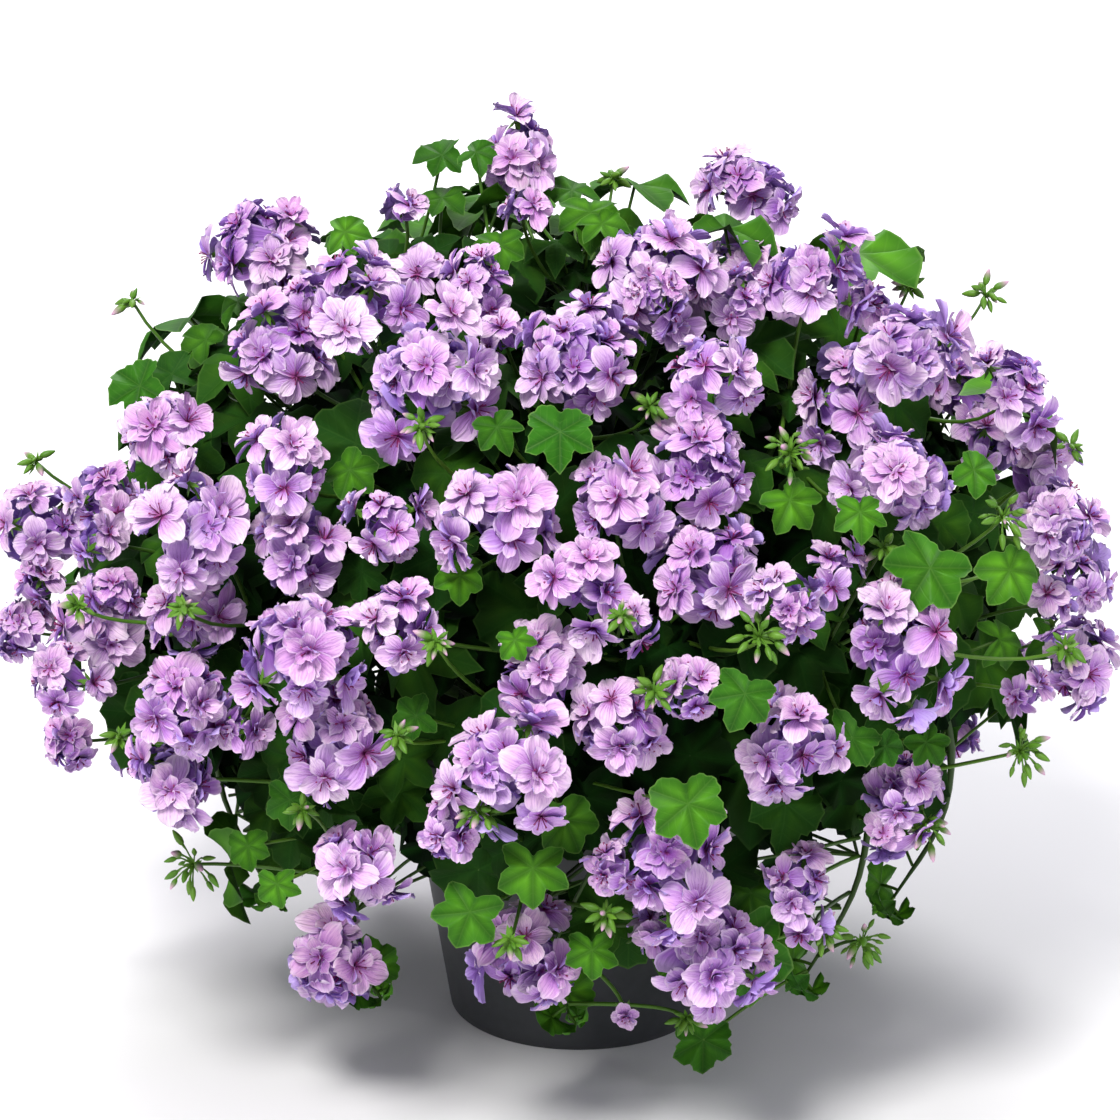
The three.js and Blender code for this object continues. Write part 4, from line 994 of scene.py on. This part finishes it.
def new_material(name, **values):
    """A material with a Principled BSDF whose own sockets hold what is the same all over."""
    material = bpy.data.materials.new(name)
    material.use_nodes = True
    shader = material.node_tree.nodes["Principled BSDF"]
    for socket, value in values.items():
        shader.inputs[socket.replace("_", " ")].default_value = value
    return material, material.node_tree, shader


def add_node(tree, kind, *links, **settings):
    """A node with its settings, and with what each input is linked to or holds."""
    node = tree.nodes.new(kind)
    for name, value in settings.items():
        setattr(node, name, value)
    for place, source in links:
        if isinstance(source, bpy.types.NodeSocket):
            tree.links.new(source, node.inputs[place])
        else:
            node.inputs[place].default_value = source
    return node


def maths(tree, operation, a, b=0.0):
    return add_node(tree, "ShaderNodeMath", (0, a), (1, b), operation=operation).outputs[0]


def plus(tree, a, b):
    return maths(tree, "ADD", a, b)


def minus(tree, a, b):
    return maths(tree, "SUBTRACT", a, b)


def times(tree, a, b):
    return maths(tree, "MULTIPLY", a, b)


def ramp(tree, value, low, high):
    """0 at low and 1 at high, with soft ends."""
    settings = {"interpolation_type": "SMOOTHSTEP"}
    return add_node(tree, "ShaderNodeMapRange", ("Value", value), (1, low), (2, high), **settings).outputs[0]


def fall(tree, value, low, high):
    """1 at low and 0 at high, with soft ends."""
    return minus(tree, 1.0, ramp(tree, value, low, high))


def blend(tree, share, a, b):
    """Colour a where the share is 0 and colour b where it is 1."""
    return add_node(tree, "ShaderNodeMix", ("Factor", share), (6, a), (7, b), data_type="RGBA").outputs[2]


def colour(r, g, b):
    return (r, g, b, 1)


def mottle_group():
    """Soft darker and lighter patches, and the same patches as a height."""
    group = bpy.data.node_groups.new("Mottle", "ShaderNodeTree")
    group.interface.new_socket("Color", in_out="INPUT", socket_type="NodeSocketColor")
    for name in ("Scale", "Amount"):
        group.interface.new_socket(name, in_out="INPUT", socket_type="NodeSocketFloat")
    group.interface.new_socket("Color", in_out="OUTPUT", socket_type="NodeSocketColor")
    group.interface.new_socket("Height", in_out="OUTPUT", socket_type="NodeSocketFloat")
    source = group.nodes.new("NodeGroupInput")
    place = add_node(group, "ShaderNodeTexCoord").outputs["Object"]
    links = (("Vector", place), ("Scale", source.outputs["Scale"]), ("Detail", 3.0))
    noise = add_node(group, "ShaderNodeTexNoise", *links).outputs["Fac"]
    light = times(group, minus(group, noise, 0.5), source.outputs["Amount"])
    value = plus(group, light, 1.0)
    links = (("Value", value), ("Color", source.outputs["Color"]))
    shaded = add_node(group, "ShaderNodeHueSaturation", *links).outputs[0]
    end = group.nodes.new("NodeGroupOutput")
    group.links.new(shaded, end.inputs["Color"])
    group.links.new(noise, end.inputs["Height"])
    return group


MOTTLE = mottle_group()


def mottled(tree, source, scale, amount):
    node = add_node(tree, "ShaderNodeGroup", node_tree=MOTTLE)
    node.inputs["Scale"].default_value = scale
    node.inputs["Amount"].default_value = amount
    if isinstance(source, bpy.types.NodeSocket):
        tree.links.new(source, node.inputs["Color"])
    else:
        node.inputs["Color"].default_value = source
    return node.outputs["Color"], node.outputs["Height"]


def bump(tree, shader, height, strength, distance):
    links = (("Height", height), ("Strength", strength), ("Distance", distance))
    tree.links.new(add_node(tree, "ShaderNodeBump", *links).outputs[0], shader.inputs["Normal"])


def blade_inputs(tree):
    """The three shares of the tone, and the place across and along the blade."""
    tone = add_node(tree, "ShaderNodeAttribute", attribute_name="tone").outputs["Color"]
    shares = add_node(tree, "ShaderNodeSeparateColor", (0, tone)).outputs
    place = add_node(tree, "ShaderNodeUVMap", uv_map="blade").outputs[0]
    across = add_node(tree, "ShaderNodeSeparateXYZ", (0, place)).outputs
    return shares, across


def petal_material():
    """Lilac from pink to blue with dark veins, paler at the edge and bluer behind. Painted violet shade
    inside a head, along creases, on sides turned from the light and on florets turned down, and at the base
    together with the petal's own deeper colour.
    """
    material, tree, shader = new_material("soft lilac petal", Roughness=0.5)
    (hue_and_painted_shade, light, inside), (u, v, _) = blade_inputs(tree)
    geometry = add_node(tree, "ShaderNodeNewGeometry").outputs
    # Pink to blue by hue; florets turned down in their head come out bluer as painted shade.
    body = blend(tree, hue_and_painted_shade, colour(0.7, 0.31, 0.67), colour(0.46, 0.25, 0.76))
    tip = times(tree, ramp(tree, v, 0.45, 1.0), 0.28)
    whiter = plus(tree, times(tree, light, 0.75), tip)
    body = blend(tree, whiter, body, colour(0.78, 0.63, 0.74))
    # Painted shade: violet where the petal's face turns away from the light above and in front.
    light_side = add_node(tree, "ShaderNodeVectorMath", (0, geometry["Normal"]), operation="DOT_PRODUCT")
    light_side.inputs[1].default_value = (-0.2, -0.62, 0.76)
    painted_shade_turned_away = fall(tree, light_side.outputs["Value"], -0.5, 0.75)
    body = blend(tree, times(tree, painted_shade_turned_away, 0.62), body, colour(0.48, 0.15, 0.65))
    streaks = add_node(tree, "ShaderNodeCombineXYZ", (0, times(tree, u, 6.0)), (1, v))
    tree.links.new(times(tree, light, 30.0), streaks.inputs[2])
    links = (("Vector", streaks.outputs[0]), ("Scale", 1.3), ("Detail", 2.0))
    streak = add_node(tree, "ShaderNodeTexNoise", *links).outputs["Fac"]
    # Painted shade: darker violet lines along the creases of the streak relief.
    ridge = maths(tree, "ABSOLUTE", minus(tree, streak, 0.5))
    painted_crease_shade = fall(tree, ridge, 0.0, 0.05)
    body = blend(tree, times(tree, painted_crease_shade, 0.4), body, colour(0.33, 0.12, 0.46))
    pale = times(tree, ramp(tree, streak, 0.55, 0.75), 0.6)
    body = blend(tree, pale, body, colour(0.82, 0.7, 0.8))
    off = maths(tree, "ABSOLUTE", times(tree, minus(tree, u, 0.5), 2.0))
    # Deeper violet towards the base: partly the petal's own colour, partly painted shade in the crevices of
    # the floret.
    deep = fall(tree, v, 0.1, 0.72)
    body = blend(tree, times(tree, deep, 0.62), body, colour(0.33, 0.08, 0.5))
    # Painted shade: deep violet where a petal lies deep inside its head. The tone's third share is 1 on
    # stamens, which get their own colour below.
    painted_sunk_shade = times(tree, ramp(tree, inside, 0.0, 0.5), 0.68)
    body = blend(tree, painted_sunk_shade, body, colour(0.24, 0.06, 0.46))
    edge = times(tree, ramp(tree, maths(tree, "MAXIMUM", off, v), 0.78, 1.0), 0.5)
    body = blend(tree, edge, body, colour(0.8, 0.68, 0.82))
    noise = add_node(tree, "ShaderNodeTexNoise", ("Scale", 160.0), ("Detail", 1.0)).outputs["Fac"]
    wander = times(tree, minus(tree, noise, 0.5), 0.7)
    fan = plus(tree, times(tree, off, 3.6), wander)
    vein = fall(tree, maths(tree, "PINGPONG", fan, 0.5), 0.0, 0.15)
    fade = fall(tree, v, 0.3, 0.95)
    ink = blend(tree, ramp(tree, v, 0.2, 0.7), colour(0.26, 0.02, 0.16), colour(0.22, 0.09, 0.38))
    near = fall(tree, v, 0.3, 0.55)
    strength = plus(tree, times(tree, fade, 0.5), times(tree, near, 0.45))
    body = blend(tree, times(tree, vein, strength), body, ink)
    claw = fall(tree, v, 0.06, 0.3)
    body = blend(tree, times(tree, claw, 0.75), body, colour(0.3, 0.02, 0.16))
    body = blend(tree, times(tree, geometry["Backfacing"], 0.6), body, colour(0.33, 0.23, 0.72))
    body = blend(tree, ramp(tree, inside, 0.7, 0.9), body, colour(0.27, 0.01, 0.12))
    shaded, _ = mottled(tree, body, 55.0, 0.3)
    tree.links.new(shaded, shader.inputs["Base Color"])
    bump(tree, shader, times(tree, streak, 3.0), 0.45, 0.001)
    return material


def leaf_material():
    """Green leaf with a pale rim and painted shade in the folds along the veins to its lobes. Inner leaves
    are darker: partly their own older green, partly painted shade.
    """
    material, tree, shader = new_material("ivy leaf", Specular_IOR_Level=0.12)
    (green_tone_and_painted_shade, light, rim), (u, v, _) = blade_inputs(tree)
    x = times(tree, minus(tree, u, 0.5), 2.2)
    y = times(tree, minus(tree, v, 0.5), 2.2)
    squares = plus(tree, times(tree, x, x), times(tree, y, y))
    reach = maths(tree, "SQRT", squares)
    turn = maths(tree, "ABSOLUTE", maths(tree, "ARCTAN2", y, x))
    lobe = math.radians(62)
    off = maths(tree, "PINGPONG", turn, lobe / 2)
    width = times(tree, off, reach)
    main = fall(tree, width, 0.004, 0.03)
    side_place = plus(tree, times(tree, reach, 1.0), times(tree, width, -0.9))
    side_stripe = maths(tree, "PINGPONG", times(tree, side_place, 5.0), 0.5)
    side = times(tree, fall(tree, side_stripe, 0.02, 0.12), 0.5)
    veins = maths(tree, "MAXIMUM", main, side)
    # Near black deep in the mound, green further out: own tone and painted shade.
    body = blend(tree, green_tone_and_painted_shade, colour(0.001, 0.008, 0.001), colour(0.028, 0.14, 0.008))
    inner = minus(tree, 1.0, times(tree, ramp(tree, rim, 0.35, 1.0), 0.7))
    fresh = times(tree, times(tree, light, green_tone_and_painted_shade), inner)
    body = blend(tree, fresh, body, colour(0.14, 0.42, 0.015))
    # Painted shade: darker green in the folds along the veins to the lobes.
    fold = fall(tree, width, 0.0, 0.2)
    body = blend(tree, times(tree, fold, 0.6), body, colour(0.006, 0.045, 0.003))
    seen = times(tree, veins, times(tree, green_tone_and_painted_shade, 0.14))
    body = blend(tree, seen, body, colour(0.16, 0.34, 0.05))
    pale = times(tree, ramp(tree, rim, 0.94, 1.0), times(tree, green_tone_and_painted_shade, 0.45))
    body = blend(tree, pale, body, colour(0.2, 0.36, 0.08))
    shaded, height = mottled(tree, body, 35.0, 0.5)
    rough = plus(tree, times(tree, green_tone_and_painted_shade, -0.45), 0.92)
    tree.links.new(rough, shader.inputs["Roughness"])
    tree.links.new(shaded, shader.inputs["Base Color"])
    bump(tree, shader, plus(tree, height, times(tree, veins, -0.5)), 0.35, 0.0009)
    return material


def stem_material():
    """Fresh green of stalks, sepals and buds, darker on the main stems and, as painted shade, on the petioles
    of leaves deep in the mound; pink at the tips of opening buds.
    """
    material, tree, shader = new_material("green stem and bud", Roughness=0.45, Specular_IOR_Level=0.3)
    (green_tone_and_painted_shade, light, pink), _ = blade_inputs(tree)
    body = blend(tree, green_tone_and_painted_shade, colour(0.004, 0.018, 0.002), colour(0.1, 0.27, 0.02))
    lighter = times(tree, times(tree, light, green_tone_and_painted_shade), 0.4)
    body = blend(tree, lighter, body, colour(0.2, 0.36, 0.04))
    body = blend(tree, pink, body, colour(0.62, 0.36, 0.52))
    shaded, height = mottled(tree, body, 90.0, 0.4)
    tree.links.new(shaded, shader.inputs["Base Color"])
    bump(tree, shader, height, 0.2, 0.0005)
    return material


def pot_material():
    material, tree, shader = new_material("moulded pot plastic", Roughness=0.48)
    shaded, height = mottled(tree, colour(0.03, 0.033, 0.036), 160.0, 0.5)
    tree.links.new(shaded, shader.inputs["Base Color"])
    bump(tree, shader, height, 0.12, 0.0003)
    return material


def soil_material():
    material, tree, shader = new_material("crumbly compost", Roughness=0.95)
    shaded, height = mottled(tree, colour(0.05, 0.03, 0.018), 240.0, 1.2)
    tree.links.new(shaded, shader.inputs["Base Color"])
    bump(tree, shader, height, 0.9, 0.003)
    return material


# Pieces.


def node_of(head, sector):
    """The CAD node that holds a head: a flower node, or the stem that a small head is fused to."""
    def held(name):
        return int(np.sum(np.linalg.norm(NODE_POINTS[name] - head.point, axis=1) < 0.5 * head.radius))

    best = max((name for name in NODE_POINTS if name.startswith("flower")), key=held)
    return best if held(best) >= 4 else stem_name(sector)


def stem_name(sector):
    return "crown_stem" if sector < 0 else f"leafy_stem_{sector + 1:02d}"


def points_of(node):
    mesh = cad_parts[node].data
    points = np.zeros(len(mesh.vertices) * 3, np.float32)
    mesh.vertices.foreach_get("co", points)
    return points.reshape(-1, 3) / MM


def single_floret(row, plant):
    px, py, size, out = row
    point, scale = seen_at(px, py, out)
    head = head_at(point, size * scale, mix((0.6, outward(point)), (0.5, TO_VIEWER)), 0)
    head.stalk = stalk_for(head.base, head.facing, STALK["least"], plant, 2)
    return head


def make_flowers(plant, petal_skin, stem_skin):
    """The florets and pedicels of each flower node, and of the small heads of each stem."""
    groups = {}
    for head in plant.heads:
        groups.setdefault(node_of(head, sector_of(head.base)), []).append(head)
    singles = [single_floret(row, plant) for row in SEEN_FLORETS]
    for head in singles + plant.small_back_heads:
        groups.setdefault(stem_name(sector_of(head.base)), []).append(head)
    for seed, (node, heads) in enumerate(sorted(groups.items())):
        draw = draws(500 + seed)
        petals, greens = Sheaf(), Sheaf()
        for head in heads:
            add_head(petals, greens, head, draw)
        petals.build(f"petals_{node}", petal_skin, "petal_lilac", [node])
        greens.build(f"pedicels_{node}", stem_skin, "leaf_green", [node])


def make_leafy_stems(plant, leaf_skin, stem_skin):
    for sector in range(-1, SECTORS):
        node = stem_name(sector)
        draw = draws(900 + sector)
        stems, blades = Sheaf(), Sheaf()
        for i, branch in enumerate(plant.stems[sector + 1]):
            row = smooth_row(branch, STEM["smooth"])
            first = STEM["side"] if i else STEM["root"]
            radii = np.interp(np.linspace(0, 1, len(row)), [0, 0.75, 1], [first, STEM["tip"] - 0.4, 1])
            radii[3 : -3 : STEM["smooth"]] *= STEM["knot"]
            add_tube(stems, row, STEM["slim"] * radii, 8, (0.12, next(draw), 0))
            add_shoot(blades, stems, row[-1], unit(row[-1] - row[-2]), draw)
        for i, leaf in enumerate(plant.leaves):
            if sector_of(leaf.point) == sector:
                add_leaf(blades, stems, leaf, i, draw)
        for cluster in plant.buds:
            if sector_of(cluster.point) == sector:
                add_buds(stems, cluster, draw)
        stems.build(f"stems_{node}", stem_skin, "leaf_green", [node])
        if blades.count:
            blades.build(f"leaves_{node}", leaf_skin, "leaf_green", [node])


def lathe(sheaf, outline, sides, tone):
    """A closed solid turned from an outline of (radius, height) that starts and ends on the axis."""
    rings = [ring_at(r, z, sides) for r, z in outline[1:-1]]
    points = np.vstack([vec(0, 0, outline[0][1])[None], *rings, vec(0, 0, outline[-1][1])[None]])
    sheaf.add(points, closed_faces(len(rings), sides), np.zeros((len(points), 2)), tone)


def pot_inside(z):
    return POT["foot"] + (POT["rim"] - POT["foot"]) * z / POT["height"] - POT["wall"]


def make_pot(skin):
    """The round pot: a tapered wall with a rolled collar, and drain holes in its floor."""
    foot, height, wall, floor = POT["foot"], POT["height"], POT["wall"], POT["floor"]
    low = height - POT["collar"]
    out = pot_inside(low) + wall
    shoulder = out + POT["collar_out"]
    rim = POT["rim"] + POT["collar_out"]
    outline = [
        (0, 1.2), (foot - 14, 1.2), (foot - 11, 0), (foot - 1.2, 0), (foot, 1.2), (foot + 0.7, 5),
        (out - 0.6, low - 2), (out, low - 0.6), (shoulder - 0.6, low + 0.4), (shoulder, low + 1.2),
        (rim - 1.6, height - 2.6), (rim - 1.9, height - 0.8), (rim - 2.8, height),
        (POT["rim"] - wall + 0.4, height), (pot_inside(height) - 0.2, height - 0.6),
        (pot_inside(height - 3), height - 3), (pot_inside(floor + 2), floor + 2),
        (pot_inside(floor) - 2, floor), (0, floor),
    ]
    sheaf = Sheaf()
    lathe(sheaf, outline, 96, (0.5, 0.5, 0))
    pot = sheaf.build("pot_shell", skin, "pot_plastic", ["pot"])
    drill = Sheaf()
    for i in range(DRAIN["count"]):
        angle = TURN * i / DRAIN["count"]
        centre = vec(DRAIN["ring"] * math.cos(angle), DRAIN["ring"] * math.sin(angle), 0)
        add_tube(drill, [centre - 8 * UP, centre + (floor + 4) * UP], DRAIN["radius"], 24, (0, 0, 0))
    cutter = cutter_from(drill)
    cut = pot.modifiers.new("drains", "BOOLEAN")
    cut.operation, cut.solver, cut.object = "DIFFERENCE", "EXACT", cutter
    apply_modifiers(pot)
    bpy.data.objects.remove(cutter)
    smooth_by_angle(pot, 35)


def cutter_from(sheaf):
    mesh = bpy.data.meshes.new("drill")
    faces = [list(map(int, face)) for group in sheaf.quads + sheaf.triangles for face in group]
    mesh.from_pydata((np.vstack(sheaf.points) * MM).tolist(), [], faces)
    return place_object("drill", mesh)


def apply_modifiers(piece):
    evaluated = piece.evaluated_get(bpy.context.evaluated_depsgraph_get())
    mesh = bpy.data.meshes.new_from_object(evaluated)
    piece.modifiers.clear()
    piece.data = mesh


def smooth_by_angle(piece, degrees):
    piece.data.shade_smooth()
    piece.data.set_sharp_from_angle(angle=math.radians(degrees))


SOIL = {"rings": 26, "sides": 84, "crumbs": 420}


def make_soil(skin):
    """The compost: a plug with a lumpy top, and loose crumbs on it."""
    draw = draws(77)
    sheaf = Sheaf()
    rings, sides = SOIL["rings"], SOIL["sides"]
    edge = pot_inside(SOIL_TOP) - 0.6
    low = POT["floor"] + 0.6
    points = [vec(0, 0, low)[None], ring_at(pot_inside(POT["floor"]) - 0.6, low, sides)]
    for i in range(rings):
        r = edge * (1 - i / rings)
        lump = [2.4 * (next(draw) - 0.5) if i else 0 for _ in range(sides)]
        dome = SOIL_TOP + 1.6 * (1 - (r / edge) ** 2) * 0.6
        ring = ring_at(r, 0, sides)
        ring[:, 2] = dome + np.array(lump) * min(1, 8 * r / edge) - 0.8
        points.append(ring)
    points = np.vstack(points + [vec(0, 0, SOIL_TOP)[None]])
    sheaf.add(points, closed_faces(rings + 1, sides), np.zeros((len(points), 2)), (0.5, 0.5, 0))
    for _ in range(SOIL["crumbs"]):
        r, angle = (edge - 4) * math.sqrt(next(draw)), TURN * next(draw)
        size = 1 + 2.6 * next(draw) ** 2
        place = vec(r * math.cos(angle), r * math.sin(angle), SOIL_TOP + 0.35 * size)
        shape = np.array([stray_of(draw) * 0.8 * size for _ in range(6)])
        tips = [(1, 0, 0), (0, 1, 0), (-1, 0, 0), (0, -1, 0), (0, 0, 1), (0, 0, -1)]
        corners = np.array(tips) * size + shape
        sides_of = [(0, 1, 4), (1, 2, 4), (2, 3, 4), (3, 0, 4), (1, 0, 5), (2, 1, 5), (3, 2, 5), (0, 3, 5)]
        sheaf.add(corners + place, [np.array(sides_of)], np.zeros((6, 2)), (next(draw), next(draw), 0))
    soil = sheaf.build("compost", skin, "compost", ["soil"])
    smooth_by_angle(soil, 30)


# Stage, light and camera.


def make_stage():
    material, _, shader = new_material("pale floor", Roughness=0.9)
    shader.inputs["Base Color"].default_value = colour(0.86, 0.86, 0.86)
    mesh = bpy.data.meshes.new("floor")
    wide = 12
    corners = [(-wide, -wide, 0), (wide, -wide, 0), (wide, wide, 0), (-wide, wide, 0)]
    mesh.from_pydata(corners, [], [(0, 1, 2, 3)])
    mesh.materials.append(material)
    floor = place_object("floor", mesh)


def add_light(name, place, aim, size, power, tint):
    data = bpy.data.lights.new(name, "AREA")
    data.shape, data.size, data.energy, data.color = "DISK", size, power, tint
    light = place_object(name, data)
    light.location = place
    light.rotation_mode = "QUATERNION"
    light.rotation_quaternion = (Vector(aim) - Vector(place)).to_track_quat("-Z", "Y")


# Each light's name, place, aim, width in metres, power in watts and tint.
LIGHTS = [
    ("key", (-0.7, -2.0, 2.7), (0, 0, 0.3), 1.0, 105, (1, 0.985, 0.96)),
    ("fill", (2.4, -1.6, 1.2), (0, 0, 0.3), 1.8, 12, (0.9, 0.92, 1)),
    ("backdrop", (0, 3.4, 3.4), (0, 3.0, 0), 3.0, 170, (1, 1, 1)),
]


def make_lights():
    for light in LIGHTS:
        add_light(*light)
    world = bpy.data.worlds.new("studio")
    world.use_nodes = True
    background = world.node_tree.nodes["Background"]
    background.inputs["Color"].default_value = colour(0.93, 0.92, 1)
    background.inputs["Strength"].default_value = 0.56
    bpy.context.scene.world = world


def make_camera():
    data = bpy.data.cameras.new("camera")
    data.sensor_width = 36
    span = VIEW["middle_pixel"] * 2 * VIEW["mm_per_pixel"]
    data.lens = data.sensor_width * VIEW["distance"] / span
    camera = place_object("camera", data)
    camera.location = (VIEW["aim"] + VIEW["distance"] * TO_VIEWER) * MM
    camera.rotation_euler = (math.pi / 2 - TILT, 0, 0)
    bpy.context.scene.camera = camera


NODE_POINTS = {name: points_of(name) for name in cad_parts}
plant = lay_out()
petal_skin, leaf_skin, stem_skin = petal_material(), leaf_material(), stem_material()
make_flowers(plant, petal_skin, stem_skin)
make_leafy_stems(plant, leaf_skin, stem_skin)
make_pot(pot_material())
make_soil(soil_material())
make_stage()
make_lights()
make_camera()
bpy.context.scene.view_settings.view_transform = "Standard"
